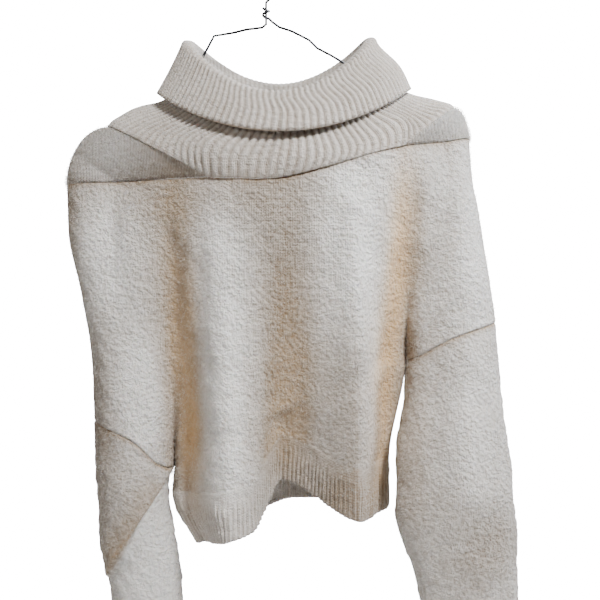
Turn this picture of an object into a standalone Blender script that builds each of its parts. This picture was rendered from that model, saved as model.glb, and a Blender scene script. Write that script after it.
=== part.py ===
import math

import bmesh
import bpy
import numpy as np

for old in list(bpy.data.objects):
    bpy.data.objects.remove(old, do_unlink=True)

# Driving sizes in millimetres, made metres when a mesh is written
metre = 0.001
wall = 3.0
seamGap = 0.3
wireRadius = 1.4
collarRibHalf = 7.0
collarRibRise = 1.2
hemRibHalf = 5.0
bandRibRise = 1.0
foldRadius = 5.2
rightSideSetBack = 12.0
setBackStart = 92.0
setBackWidth = 40.0

# Levels of a panel: 0 shoulder or neck seam, 1 armhole, 2 top of the hem rib, 3 hem edge
levels = (0.0, 0.2, 0.5, 0.8, 1.0, 2.0, 3.0)

# A row per fold: name, across at each level, depth at each level, height at top, armhole, rib, hem
frontFolds = (
    ("outer_left", (-210.9, -208.8, -192.9, -182.3, -180.7, -180.2, -180.2),
     (0, 0, 0, 0, 0, 0, 0), (-236.4, -483.4, -538.5, -570.3)),
    ("lobe_left", (-154.6, -155.0, -148.4, -141.6, -136.7, -137.0, -137.0),
     (28, 36, 44, 48, 47, 40, 40), (-236.7, -499.7, -541.4, -582.2)),
    ("valley_left", (-55.8, -84.0, -98.3, -94.6, -96.0, -99.1, -73.1),
     (68, 56, 40, 22, 5.5, 0, 0), (-236.8, -533.7, -560.7, -610.6)),
    ("trough_left", (-40.5, -65.9, -77.5, -79.2, -80.6, -81.9, -62.0),
     (74, 66, 52, 38, 26, 24, 26), (-238.5, -524.5, -559.0, -607.1)),
    ("ridge_left", (-22.6, -30.5, -34.4, -34.4, -34.5, -34.4, -33.3),
     (78, 77, 77, 77, 76, 77, 78), (-239.0, -493.4, -551.0, -595.8)),
    ("lip", (-8.8, -7.0, -8.0, -11.1, -12.2, -12.4, -11.5),
     (80, 78, 76, 73, 71, 68, 66), (-239.8, -480.4, -545.0, -589.0)),
    ("centre", (8.8, 20.4, 26.2, 27.1, 25.0, 18.8, 16.6),
     (81, 78, 71, 62, 57, 41, 34), (-239.4, -462.2, -498.6, -541.6)),
    ("ridge_right", (60.4, 77.0, 86.8, 90.8, 91.8, 91.7, 91.6),
     (80, 80, 79, 78, 77, 78, 80), (-228.6, -439.5, -532.2, -574.8)),
    ("trough_right", (100.6, 115.2, 122.6, 126.1, 127.0, 118.0, 117.0),
     (77, 67, 50, 34, 25, 22, 22), (-216.4, -427.5, -535.6, -580.1)),
    ("valley_right", (140.9, 148.8, 149.5, 147.2, 147.0, 131.0, 130.0),
     (58, 50, 36, 20, 5.5, 0, 0), (-204.5, -421.7, -532.1, -576.6)),
    ("lobe_right", (185.9, 186.6, 187.5, 190.1, 190.1, 190.7, 190.7),
     (25, 34, 41, 44, 44, 40, 40), (-195.0, -397.8, -480.4, -500.7)),
    ("outer_right", (214.7, 217.8, 227.9, 236.9, 242.2, 243.8, 243.8),
     (0, 0, 0, 0, 0, 0, 0), (-188.7, -381.6, -485.5, -506.7)),
)
backFolds = (
    ("outer_left", (-208.8, -203.0, -190.0, -182.3, -180.7, -180.2, -180.2),
     (0, 0, 0, 0, 0, 0, 0), (-262.0, -483.4, -538.5, -570.3)),
    ("lobe_left", (-160.0, -156.0, -148.0, -141.0, -137.0, -137.0, -137.0),
     (40, 43, 45, 46, 45, 40, 40), (-250.0, -499.7, -541.4, -582.2)),
    ("valley_left", (-108.0, -104.0, -98.0, -96.0, -96.0, -99.1, -73.1),
     (56, 50, 40, 24, 5.5, 0, 0), (-236.0, -533.7, -560.7, -610.6)),
    ("trough_left", (-90.0, -86.0, -82.0, -80.0, -80.0, -80.0, -60.0),
     (62, 60, 52, 42, 30, 30, 34), (-228.0, -520.0, -557.0, -604.0)),
    ("ridge_left", (-62.0, -56.0, -50.0, -46.0, -44.0, -42.0, -40.0),
     (67, 69, 71, 72, 72, 72, 73), (-218.0, -498.0, -550.0, -598.0)),
    ("lip", (-34.0, -26.0, -18.0, -14.0, -12.0, -10.0, -8.0),
     (70, 69, 68, 66, 62, 55, 52), (-209.0, -480.0, -542.0, -590.0)),
    ("centre", (12.0, 16.0, 20.0, 22.0, 22.0, 20.0, 20.0),
     (70, 71, 72, 74, 74, 72, 72), (-205.0, -462.0, -536.0, -584.0)),
    ("ridge_right", (60.0, 60.0, 62.0, 64.0, 66.0, 66.0, 66.0),
     (68, 66, 62, 58, 54, 48, 46), (-204.0, -445.0, -530.0, -577.0)),
    ("trough_right", (104.0, 106.0, 108.0, 108.0, 108.0, 106.0, 106.0),
     (62, 60, 52, 42, 32, 38, 42), (-206.0, -431.0, -530.0, -575.0)),
    ("valley_right", (150.0, 150.0, 150.0, 147.2, 147.0, 131.0, 130.0),
     (50, 46, 36, 20, 5.5, 0, 0), (-208.0, -421.7, -532.1, -576.6)),
    ("lobe_right", (184.0, 186.0, 188.0, 190.0, 190.1, 190.7, 190.7),
     (34, 38, 42, 44, 44, 40, 40), (-209.0, -397.8, -480.4, -500.7)),
    ("outer_right", (217.0, 219.0, 229.0, 236.9, 242.2, 243.8, 243.8),
     (0, 0, 0, 0, 0, 0, 0), (-213.0, -381.6, -485.5, -506.7)),
)
frontCounts = (4, 4, 2, 3, 2, 3, 4, 3, 2, 4, 4)
backCounts = (4, 4, 2, 2, 2, 2, 3, 2, 2, 4, 4)
upperRows = 12
lowerRows = 4

# Where the neck seam crosses the shoulder, left then right: across, height
neckAtShoulder = ((-167.5, -176.0), (199.0, -156.0))
strapFrontRows = 7
strapBackRows = 7

# A row per collar loop: name, across left and right, depth front and back, height left, right, front, back
collarLoops = (
    ("stand_low", -147.0, 184.0, 84.0, 74.0, -162.0, -150.5, -225.0, -192.0),
    ("stand_mid", -104.0, 143.0, 80.0, 68.0, -147.0, -138.5, -198.0, -166.0),
    ("fold", -82.0, 110.0, 73.0, 62.0, -90.0, -87.0, -160.0, -122.0),
    ("turn_mid", -99.0, 139.0, 86.0, 74.0, -115.0, -112.0, -177.0, -140.0),
    ("edge", -113.0, 151.0, 91.0, 80.0, -140.5, -136.0, -195.0, -160.0),
)

# A row per sleeve loop: height, across left and right, depth of middle, half depth
sleeveLeftLoops = (
    (-549.0, -177.2, -101.8, -4, 44), (-572.0, -175.5, -101.3, -7, 42),
    (-605.1, -174.1, -94.2, -9, 38), (-641.9, -167.7, -90.0, -9, 34),
    (-695.1, -159.7, -86.1, -7, 32), (-759.9, -156.3, -85.5, -3, 30),
    (-824.7, -153.7, -88.0, 0, 28),
)
sleeveRightLoops = (
    (-447.8, 146.5, 246.8, -8, 42), (-482.7, 140.0, 248.6, -24, 38),
    (-522.1, 134.3, 250.6, -36, 34), (-566.9, 133.0, 253.8, -42, 32),
    (-607.6, 140.9, 256.9, -40, 31), (-638.7, 153.3, 258.3, -38, 30),
    (-706.4, 163.0, 257.2, -34, 29), (-759.3, 167.6, 255.0, -30, 28),
)
sleeveRows = 13
sleeveFoldStep = 7.0
sleeveDrop = 0.9
underarmTuck = 1.2
# The step fold of the left sleeve: a point of its edge, the edge's slope, its width, and where it runs out
stepAcross = -103.0
stepHeight = -545.0
stepSlope = 1.6
stepWidth = 45.0
stepEnd = -790.0
stepFade = 90.0
cuffLength = 52.0

# The wire seen from the front: across, height
wireArms = (
    (-12.0, -70.5), (-20.1, -71.5), (-36.0, -75.3), (-55.1, -78.4), (-64.7, -96.5), (-80.6, -123.5),
    (-105.0, -153.5), (-133.6, -170.5), (-162.0, -182.5), (-184.0, -197.0), (-196.0, -212.0),
    (-197.5, -220.5), (-191.0, -225.8), (-180.0, -226.0), (0.0, -207.0), (188.0, -187.6),
    (198.0, -184.0), (201.5, -177.0), (197.0, -169.0), (188.0, -164.5), (170.0, -160.0),
    (142.0, -151.5), (110.0, -124.0), (70.0, -99.6), (54.1, -91.2), (45.6, -82.7), (27.6, -73.5),
    (14.0, -69.0), (6.5, -63.5),
)
hookRadius = 19.0
hookCentre = -17.6


def slopes(x, y):
    # Fritsch and Carlson slopes, so that a curve through the stations never overshoots
    step = np.diff(x)
    rise = np.diff(y) / step
    out = np.zeros(len(x))
    for k in range(1, len(x) - 1):
        if rise[k - 1] * rise[k] > 0:
            a = 2 * step[k] + step[k - 1]
            b = step[k] + 2 * step[k - 1]
            out[k] = (a + b) / (a / rise[k - 1] + b / rise[k])
    out[0] = rise[0]
    out[-1] = rise[-1]
    return out


def smooth(x, y, at):
    x = np.asarray(x, float)
    y = np.asarray(y, float)
    at = np.atleast_1d(np.asarray(at, float))
    m = slopes(x, y)
    k = np.clip(np.searchsorted(x, at, side="right") - 1, 0, len(x) - 2)
    h = x[k + 1] - x[k]
    t = np.clip((at - x[k]) / h, 0.0, 1.0)
    low = (1 + 2 * t) * (1 - t) ** 2 * y[k] + t * (1 - t) ** 2 * h * m[k]
    return low + t * t * (3 - 2 * t) * y[k + 1] - t * t * (1 - t) * h * m[k + 1]


def ease(t):
    t = np.clip(t, 0.0, 1.0)
    return t * t * (3 - 2 * t)


def heightAt(heights, level):
    top, arm, rib, hem = heights
    if level <= 1:
        return top + (arm - top) * level
    if level <= 2:
        return arm + (rib - arm) * (level - 1)
    return rib + (hem - rib) * (level - 2)


def section(folds, counts, level, side):
    # One row of points across a panel at a level; side is -1 for the front and 1 for the back
    across = np.array([smooth(levels, f[1], level)[0] for f in folds])
    depth = np.array([smooth(levels, f[2], level)[0] for f in folds])
    height = np.array([heightAt(f[3], level) for f in folds])
    round0 = 1.0 if level > 1 else 0.8 * ease((level - 0.5) / 0.5)
    out = []
    last = len(counts) - 1
    for k, n in enumerate(counts):
        f = np.arange(n + (k == last)) / n
        x0, x1 = across[k], across[k + 1]
        d0, d1 = depth[k], depth[k + 1]
        x = x0 + (x1 - x0) * f
        d = smooth(across, depth, x)
        weight = 1.0 if k in (0, last) else round0
        if k in (0, 1, 2, last - 2, last - 1, last):
            lowFirst = k in (0, 2, last - 1)
            turn = f * math.pi / 2 if lowFirst else (1 - f) * math.pi / 2
            xl, xh, dl, dh = (x0, x1, d0, d1) if lowFirst else (x1, x0, d1, d0)
            xr = xh + (xl - xh) * np.cos(turn)
            dr = dl + (dh - dl) * np.sin(turn)
            x = x + (xr - x) * weight
            d = d + (dr - d) * weight
        z = smooth(across, height, x)
        out.append(np.stack([x, side * d, z], axis=1))
    row = np.concatenate(out)
    setBack = rightSideSetBack * ease(level - 1.0) * ease((row[:, 0] - setBackStart) / setBackWidth)
    row[:, 1] += setBack
    return row


def meshNormals(points, faces):
    out = np.zeros_like(points)
    for face in faces:
        loop = points[list(face)]
        n = np.zeros(3)
        for a, b in zip(loop, np.roll(loop, -1, axis=0)):
            n += np.cross(a, b)
        for i in face:
            out[i] += n
    return out / np.maximum(np.linalg.norm(out, axis=1, keepdims=True), 1e-9)


def writeMesh(name, points, faces, colour, roughness=0.9):
    mesh = bpy.data.meshes.new(name)
    mesh.from_pydata([tuple(p) for p in np.asarray(points) * metre], [], [tuple(f) for f in faces])
    mesh.validate()
    mesh.update()
    obj = bpy.data.objects.new(name, mesh)
    finish(obj, name, colour, roughness)
    return obj


def finish(obj, name, colour, roughness, metal=0.0):
    sweaterGroup.objects.link(obj)
    material = bpy.data.materials.new(name + " surface")
    material.use_nodes = True
    shader = material.node_tree.nodes["Principled BSDF"]
    shader.inputs["Base Color"].default_value = (*colour, 1.0)
    shader.inputs["Roughness"].default_value = roughness
    shader.inputs["Metallic"].default_value = metal
    obj.data.materials.clear()
    obj.data.materials.append(material)


def shell(name, outer, inner, faces, colour):
    # Outer faces, the same faces turned round on the inside, and a rim along each open edge
    n = len(outer)
    rims = {}
    for face in faces:
        for a, b in zip(face, face[1:] + face[:1]):
            if (b, a) in rims:
                del rims[(b, a)]
            else:
                rims[(a, b)] = True
    all_faces = list(faces) + [tuple(n + i for i in reversed(f)) for f in faces]
    all_faces += [(b, a, n + a, n + b) for a, b in rims]
    return writeMesh(name, np.concatenate([outer, inner]), all_faces, colour)


def unit(v):
    return v / np.maximum(np.linalg.norm(v, axis=-1, keepdims=True), 1e-9)


def flatNormal(n, axis):
    n = n.copy()
    n[..., axis] = 0.0
    return unit(n)


def resample(line, fractions, extra=None, closed=False):
    # Points at given fractions of a line's length, and the same mix of its normals
    if closed:
        line = np.concatenate([line, line[:1]])
        extra = None if extra is None else np.concatenate([extra, extra[:1]])
    run = np.concatenate([[0.0], np.cumsum(np.linalg.norm(np.diff(line, axis=0), axis=1))])
    at = np.asarray(fractions) * run[-1]
    points = np.stack([np.interp(at, run, line[:, i]) for i in range(3)], axis=1)
    if extra is None:
        return points
    return points, unit(np.stack([np.interp(at, run, extra[:, i]) for i in range(3)], axis=1))


def divide(line, pitch):
    # Fractions along a closed line that keep each of its points, an even number in all
    closed = np.concatenate([line, line[:1]])
    lengths = np.linalg.norm(np.diff(closed, axis=0), axis=1)
    parts = np.maximum(1, np.round(lengths / pitch)).astype(int)
    parts[np.argmax(lengths)] += parts.sum() % 2
    run = np.concatenate([[0.0], np.cumsum(lengths)]) / lengths.sum()
    shares = [run[k] + (run[k + 1] - run[k]) * np.arange(n) / n for k, n in enumerate(parts)]
    return np.concatenate(shares), parts


def split(line, parts):
    # The same parts of each step of another closed line
    closed = np.concatenate([line, line[:1]])
    steps = [closed[k] + (closed[k + 1] - closed[k]) * (np.arange(n) / n)[:, None] for k, n in enumerate(parts)]
    return np.concatenate(steps)


sweaterGroup = bpy.data.collections.new("knit sweater")
bpy.context.scene.collection.children.link(sweaterGroup)
wool = (0.80, 0.76, 0.68)
ribWool = (0.82, 0.78, 0.70)


def columnOf(counts, fold):
    return sum(counts[:fold])


# Front panel
def panelRows(folds, counts, side):
    rows = [section(folds, counts, r / upperRows, side) for r in range(upperRows + 1)]
    lower = [section(folds, counts, 1 + r / lowerRows, side) for r in range(1, lowerRows + 1)]
    first, last = columnOf(counts, 2), columnOf(counts, 9)
    return rows, [row[first:last + 1] for row in lower], first, last


def gridFaces(topRow, bottomRow, front):
    faces = []
    for j in range(len(topRow) - 1):
        a, b, c, d = topRow[j], topRow[j + 1], bottomRow[j + 1], bottomRow[j]
        ring = [a, d, c, b] if front else [a, b, c, d]
        kept = [v for i, v in enumerate(ring) if v != ring[i - 1]]
        faces.append(tuple(kept))
    return faces


frontUpper, frontLower, frontFirst, frontLast = panelRows(frontFolds, frontCounts, -1)
for row in frontUpper:
    row[[0, -1], 1] = -seamGap / 2
for row in frontLower:
    row[[0, -1], 1] -= seamGap / 2

frontPoints = []
frontIndex = []
for row in frontUpper + frontLower:
    frontIndex.append(list(range(len(frontPoints), len(frontPoints) + len(row))))
    frontPoints += list(row)
frontPoints = np.array(frontPoints)
frontFaces = []
for r in range(upperRows):
    frontFaces += gridFaces(frontIndex[r], frontIndex[r + 1], True)
joined = frontIndex[upperRows][frontFirst:frontLast + 1]
for r in range(upperRows + 1, upperRows + 1 + lowerRows):
    frontFaces += gridFaces(joined, frontIndex[r], True)
    joined = frontIndex[r]
frontNormals = meshNormals(frontPoints, frontFaces)
frontSide = [i for r in range(upperRows + 1) for i in (frontIndex[r][0], frontIndex[r][-1])]
frontSide += [i for r in range(upperRows + 1, len(frontIndex)) for i in (frontIndex[r][0], frontIndex[r][-1])]
frontNormals[frontSide] = flatNormal(frontNormals[frontSide], 1)
armUnder = [frontIndex[upperRows][frontFirst], frontIndex[upperRows][frontLast]]
frontNormals[armUnder] = (0.0, -1.0, 0.0)
frontInner = frontPoints - wall * frontNormals
frontInner[armUnder, 1] = -seamGap
shell("front_panel", frontPoints, frontInner, frontFaces, wool)

frontOuter = (np.array([frontPoints[r[0]] for r in frontIndex[:upperRows + 1]]),
              np.array([frontPoints[r[-1]] for r in frontIndex[:upperRows + 1]]))
frontHem = (np.array([frontPoints[r[0]] for r in frontIndex[upperRows + 1:]]),
            np.array([frontPoints[r[-1]] for r in frontIndex[upperRows + 1:]]))
topLine = frontPoints[frontIndex[0]]
topNormals = frontNormals[frontIndex[0]]


def seamShift(line, normals, amount, turn):
    # Moves a seam line along the cloth, square to itself
    along = np.gradient(line, axis=0)
    across = unit(np.cross(along, normals)) * turn
    return line + across * amount


# Back panel, with the strips that come over the shoulders to the front
seamUp = seamShift(topLine, topNormals, seamGap, 1.0)
if seamUp[0, 2] < topLine[0, 2]:
    seamUp = seamShift(topLine, topNormals, seamGap, -1.0)
backUpper, backLower, backFirst, backLast = panelRows(backFolds, backCounts, 1)
backMiddle = columnOf(backCounts, 6)
backWidth = len(backUpper[0])


def onOuter(row, end):
    edge = frontOuter[0 if end == 0 else 1]
    j = 0 if end == 0 else -1
    row[j, 0] = np.interp(-row[j, 2], -edge[:, 2], edge[:, 0])
    row[j, 1] = seamGap / 2


for row in backUpper:
    onOuter(row, 0)
    onOuter(row, 1)
for k, row in enumerate(backLower):
    row[0] = frontHem[0][k]
    row[-1] = frontHem[1][k]
    row[0, 1] += seamGap
    row[-1, 1] += seamGap


def strap(side):
    # Rows from the forward seam over the shoulder to the back, outer edge first
    if side == 0:
        cut = columnOf(frontCounts, 2) + 1
        seam, normals = seamUp[:cut], topNormals[:cut]
        target = backUpper[0][:backMiddle + 1]
    else:
        cut = columnOf(frontCounts, 9)
        seam, normals = seamUp[cut:][::-1], topNormals[cut:][::-1]
        target = backUpper[0][backMiddle:][::-1]
    n = len(target)
    share = np.linspace(0, 1, n)
    front, frontN = resample(seam, share, normals)
    pole = front[0].copy()
    pole[1] = seamGap / 2
    front[0] = pole
    nx, nz = neckAtShoulder[side]
    turn = share * math.pi / 2
    crest = np.stack([pole[0] + (nx - pole[0]) * (1 - np.cos(turn)), np.full(n, seamGap / 2),
                      pole[2] + (nz - pole[2]) * np.sin(turn)], axis=1)
    rows = []
    for r in range(strapFrontRows, 0, -1):
        a = r / strapFrontRows * math.pi / 2
        mix = np.array([1 - math.cos(a), math.sin(a), 1 - math.cos(a)])
        rows.append(crest + (front - crest) * mix)
    rows[0] = front
    for r in range(0, strapBackRows):
        a = r / strapBackRows * math.pi / 2
        mix = np.array([1 - math.cos(a), math.sin(a), 1 - math.cos(a)])
        row = crest + (target - crest) * mix
        if r > 0:
            edge = frontOuter[side]
            row[0, 0] = np.interp(-row[0, 2], -edge[:, 2], edge[:, 0])
            row[0, 1] = seamGap / 2
        rows.append(row)
    return rows, frontN


leftStrap, leftStrapN = strap(0)
rightStrap, rightStrapN = strap(1)
backPoints = []
backIndex = []


def addRow(row):
    start = len(backPoints)
    backPoints.extend(list(row))
    return list(range(start, start + len(row)))


leftIndex, rightIndex = [], []
for rows, index in ((leftStrap, leftIndex), (rightStrap, rightIndex)):
    pole = None
    for r, row in enumerate(rows):
        if r <= strapFrontRows:
            if pole is None:
                line = addRow(row)
                pole = line[0]
            else:
                line = [pole] + addRow(row[1:])
        else:
            line = addRow(row)
        index.append(line)
for row in backUpper + backLower:
    backIndex.append(addRow(row))
backPoints = np.array(backPoints)
backFaces = []
for r in range(len(leftIndex) - 1):
    backFaces += gridFaces(leftIndex[r], leftIndex[r + 1], False)
    backFaces += gridFaces(rightIndex[r][::-1], rightIndex[r + 1][::-1], False)
backFaces += gridFaces(leftIndex[-1], backIndex[0][:backMiddle + 1], False)
backFaces += gridFaces(rightIndex[-1][::-1], backIndex[0][backMiddle:], False)
for r in range(upperRows):
    backFaces += gridFaces(backIndex[r], backIndex[r + 1], False)
joined = backIndex[upperRows][backFirst:backLast + 1]
for r in range(upperRows + 1, upperRows + 1 + lowerRows):
    backFaces += gridFaces(joined, backIndex[r], False)
    joined = backIndex[r]
backFaces = [f for f in backFaces if len(f) > 2]
backNormals = meshNormals(backPoints, backFaces)
backSide = [i for row in backIndex for i in (row[0], row[-1])]
backSide += [index[r][0] for index in (leftIndex, rightIndex) for r in range(strapFrontRows, len(leftIndex))]
backNormals[backSide] = flatNormal(backNormals[backSide], 1)
backNormals[leftIndex[0][1:]] = leftStrapN[1:]
backNormals[rightIndex[0][1:]] = rightStrapN[1:]
armUnder = [backIndex[upperRows][backFirst], backIndex[upperRows][backLast]]
backNormals[armUnder] = (0.0, 1.0, 0.0)
backInner = backPoints - wall * backNormals
backInner[armUnder, 1] = seamGap
shell("back_panel", backPoints, backInner, backFaces, wool)


def tubeFaces(rows, around, outward=True):
    faces = []
    for r in range(rows - 1):
        for j in range(around):
            k = (j + 1) % around
            ring = (r * around + j, (r + 1) * around + j, (r + 1) * around + k, r * around + k)
            faces.append(ring if outward else ring[::-1])
    return faces


def ribRise(around, rise):
    return np.where(np.arange(around) % 2 == 0, rise, 0.0)[:, None]


# Sleeves: the first loop follows the armhole, the rest are the loops of the table
def armLoop(side):
    if side == 0:
        frontEdge = frontIndex[upperRows][1:frontFirst]
        backEdge = backIndex[upperRows][1:backFirst][::-1]
        outer = frontPoints[frontIndex[upperRows][0]]
        under = frontPoints[frontIndex[upperRows][frontFirst]]
    else:
        frontEdge = frontIndex[upperRows][frontLast + 1:-1][::-1]
        backEdge = backIndex[upperRows][backLast + 1:-1]
        outer = frontPoints[frontIndex[upperRows][-1]]
        under = frontPoints[frontIndex[upperRows][frontLast]]
    inward = 1.0 if side == 0 else -1.0
    outer = np.array([outer[0], 0.0, outer[2]])
    under = np.array([under[0] - inward * underarmTuck, 0.0, under[2] - 0.3])
    line = np.concatenate([[outer], frontPoints[frontEdge], [under], backPoints[backEdge]])
    normals = np.concatenate([[(-inward, 0, 0)], frontNormals[frontEdge], [(inward, 0, 0)],
                              backNormals[backEdge]])
    return line - np.array([0, 0, sleeveDrop]), normals


sleeveAround = 2 * (frontCounts[0] + frontCounts[1])
sleeveEnds = []
for side, name, loops in ((0, "left", sleeveLeftLoops), (1, "right", sleeveRightLoops)):
    line, normals = armLoop(side)
    share = np.arange(sleeveAround) / sleeveAround
    top, topN = line, normals
    turn = share * 2 * math.pi
    outerSign = -1.0 if side == 0 else 1.0
    stack = [top]
    for z, left, right, middle, half in loops:
        x = (left + right) / 2 + outerSign * (right - left) / 2 * np.cos(turn)
        stack.append(np.stack([x, middle - half * np.sin(turn), np.full(sleeveAround, z)], axis=1))
    stack = np.array(stack)
    start = top[:, 2].mean()
    places = np.array([0.0] + [start - loop[0] for loop in loops])
    rows = np.linspace(0.0, 1.0, sleeveRows) ** 1.15 * places[-1]
    points = np.zeros((sleeveRows, sleeveAround, 3))
    for j in range(sleeveAround):
        for axis in range(3):
            points[:, j, axis] = smooth(places, stack[:, j, axis], rows)
    points[0] = top
    if side == 0:
        # The step fold on the front of this sleeve runs down to the outer edge
        foldLine = stepHeight + (points[..., 0] - stepAcross) * stepSlope
        below = ease((foldLine - points[..., 2]) / stepWidth) * ease((points[..., 2] - stepEnd) / stepFade)
        points[..., 1] += sleeveFoldStep * below * np.clip(np.sin(turn), 0.0, 1.0) ** 0.5
    flat = points.reshape(-1, 3)
    faces = tubeFaces(sleeveRows, sleeveAround, side == 0)
    flatN = meshNormals(flat, faces)
    flatN[:sleeveAround] = topN
    shell("sleeve_" + name, flat, flat - wall * flatN, faces, wool)
    sleeveEnds.append((flat[-sleeveAround:], flatN[-sleeveAround:], side))

for (line, normals, side), name in zip(sleeveEnds, ("left", "right")):
    around = sleeveAround * 2
    parts = [2] * sleeveAround
    ring, ringN = split(line, parts), flatNormal(split(normals, parts), 2)
    centre = ring.mean(axis=0)
    rows = []
    for drop, size in ((seamGap, 1.0), (cuffLength * 0.3, 0.93), (cuffLength, 0.90)):
        rows.append(centre + (ring - centre) * size - np.array([0, 0, drop]))
    flat = np.concatenate(rows)
    faces = tubeFaces(3, around, side == 0)
    flatN = meshNormals(flat, faces)
    flatN[:around] = ringN
    rise = np.concatenate([ribRise(around, 0.0), ribRise(around, bandRibRise), ribRise(around, bandRibRise)])
    shell("cuff_" + name, flat + rise * flatN, flat - wall * flatN, faces, ribWool)

# Hem rib, one band round both panels
hemRows = []
for step in range(3):
    level = 2 + step / 2
    if step == 0:
        frontRow, backRow = frontPoints[frontIndex[-1]], backPoints[backIndex[-1]]
    else:
        frontRow = section(frontFolds, frontCounts, level, -1)[frontFirst:frontLast + 1]
        backRow = section(backFolds, backCounts, level, 1)[backFirst:backLast + 1]
    left = (frontRow[0] + backRow[0]) / 2
    right = (frontRow[-1] + backRow[-1]) / 2
    line = np.concatenate([[left], frontRow[1:-1], [right], backRow[1:-1][::-1]])
    if step == 0:
        parts = divide(line, hemRibHalf)[1]
        hemAround = int(parts.sum())
        nf, nb = frontNormals[frontIndex[-1]], backNormals[backIndex[-1]]
        lineN = np.concatenate([[nf[0]], nf[1:-1], [nf[-1]], nb[1:-1][::-1]])
        hemTopN = unit(split(lineN, parts))
    hemRows.append(split(line, parts))
hemRows[0] = hemRows[0] - np.array([0, 0, seamGap])
flat = np.concatenate(hemRows)
faces = tubeFaces(3, hemAround, True)
flatN = meshNormals(flat, faces)
flatN[:hemAround] = hemTopN
rise = np.concatenate([ribRise(hemAround, 0.0), ribRise(hemAround, bandRibRise), ribRise(hemAround, bandRibRise)])
shell("hem_rib", flat + rise * flatN, flat - wall * flatN, faces, ribWool)

# Collar: from the neck seam up the stand, over the fold and down to the free edge
frontNeck = frontIndex[0][frontFirst + 1:frontLast]
rightNeck = [row[-1] for row in rightIndex] + [backIndex[0][backMiddle]]
leftNeck = [row[-1] for row in leftIndex][::-1]
neck = np.concatenate([frontPoints[frontNeck], backPoints[rightNeck], backPoints[leftNeck]])
neckN = np.concatenate([frontNormals[frontNeck], backNormals[rightNeck], backNormals[leftNeck]])
middle = len(frontNeck) // 2
neck = np.roll(neck, -middle, axis=0)
neckN = np.roll(neckN, -middle, axis=0)
along = np.roll(neck, -1, axis=0) - np.roll(neck, 1, axis=0)
across = unit(np.cross(neckN, along))
neck = neck + across * seamGap * 1.8
share = divide(neck, collarRibHalf)[0]
collarAround = len(share)
seamRing, seamN = resample(neck, share, neckN, closed=True)


def collarLoop(row):
    name, left, right, front, back, zl, zr, zf, zb = row
    t = np.linspace(0, 2 * math.pi, 721)[:-1]
    depth = np.where(np.cos(t) > 0, front, back)
    level = (zf + zb + zr + zl) / 4
    z = level + (zr - zl) / 2 * np.sin(t) + (zf - zb) / 2 * np.cos(t)
    z = z + (zf + zb - zr - zl) / 4 * np.cos(2 * t)
    x = (left + right) / 2 + (right - left) / 2 * np.sin(t)
    return resample(np.stack([x, -depth * np.cos(t), z], axis=1), share, closed=True)


loops = {row[0]: collarLoop(row) for row in collarLoops}
fold = loops["fold"]
out = flatNormal(np.cross(np.roll(fold, -1, axis=0) - np.roll(fold, 1, axis=0), (0.0, 0.0, 1.0)), 2)
up = np.array([0.0, 0.0, 1.0])
path = [seamRing - wall / 2 * seamN, loops["stand_low"], loops["stand_mid"], fold - foldRadius * out,
        fold + foldRadius * up, fold + foldRadius * out, loops["turn_mid"], loops["edge"]]
flat = np.concatenate(path)
faces = tubeFaces(len(path), collarAround, False)
flatN = meshNormals(flat, faces)
flatN[:collarAround] = seamN
stand = (0.4, 1, 1, 1, 0, 0, 0, 0)
turned = (0, 0, 0, 0, 0.7, 1, 1, 1)
outRise = np.concatenate([ribRise(collarAround, collarRibRise * s) for s in stand])
inRise = np.concatenate([ribRise(collarAround, collarRibRise * s) for s in turned])
shell("collar", flat + (wall / 2 + outRise) * flatN, flat - (wall / 2 + inRise) * flatN, faces, ribWool)

# Wire hanger: one wire, from the hook's tip down the neck and once round the arms and bar
wire = []
for step in range(15):
    a = math.radians(200 - step * 19.0)
    wire.append((hookRadius * math.cos(a), 0.0, hookCentre + hookRadius * math.sin(a)))
wire += [(4.0, 0.0, -39.0), (0.0, 0.0, -43.0), (0.0, 0.0, -66.0), (-4.0, 0.0, -69.5)]
wire += [(x, 0.0, z) for x, z in wireArms]
for step in range(13):
    a = math.radians(-15 + step * 45.0)
    wire.append((3.4 * math.cos(a), 3.4 * math.sin(a), -60.5 + step * 1.0))
curve = bpy.data.curves.new("hanger", "CURVE")
curve.dimensions = "3D"
curve.bevel_depth = wireRadius * metre
curve.bevel_resolution = 2
curve.use_fill_caps = True
spline = curve.splines.new("POLY")
spline.points.add(len(wire) - 1)
for point, place in zip(spline.points, wire):
    point.co = (place[0] * metre, place[1] * metre, place[2] * metre, 1.0)
made = bpy.data.objects.new("hanger", curve)
sweaterGroup.objects.link(made)
bpy.context.view_layer.update()
mesh = bpy.data.meshes.new_from_object(made.evaluated_get(bpy.context.evaluated_depsgraph_get()))
bpy.data.objects.remove(made, do_unlink=True)
ends = bmesh.new()
ends.from_mesh(mesh)
bmesh.ops.remove_doubles(ends, verts=ends.verts, dist=0.00001)
bmesh.ops.recalc_face_normals(ends, faces=ends.faces)
ends.to_mesh(mesh)
ends.free()
hanger = bpy.data.objects.new("hanger", mesh)
finish(hanger, "hanger", (0.05, 0.05, 0.055), 0.35, 1.0)
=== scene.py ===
import math

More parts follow.
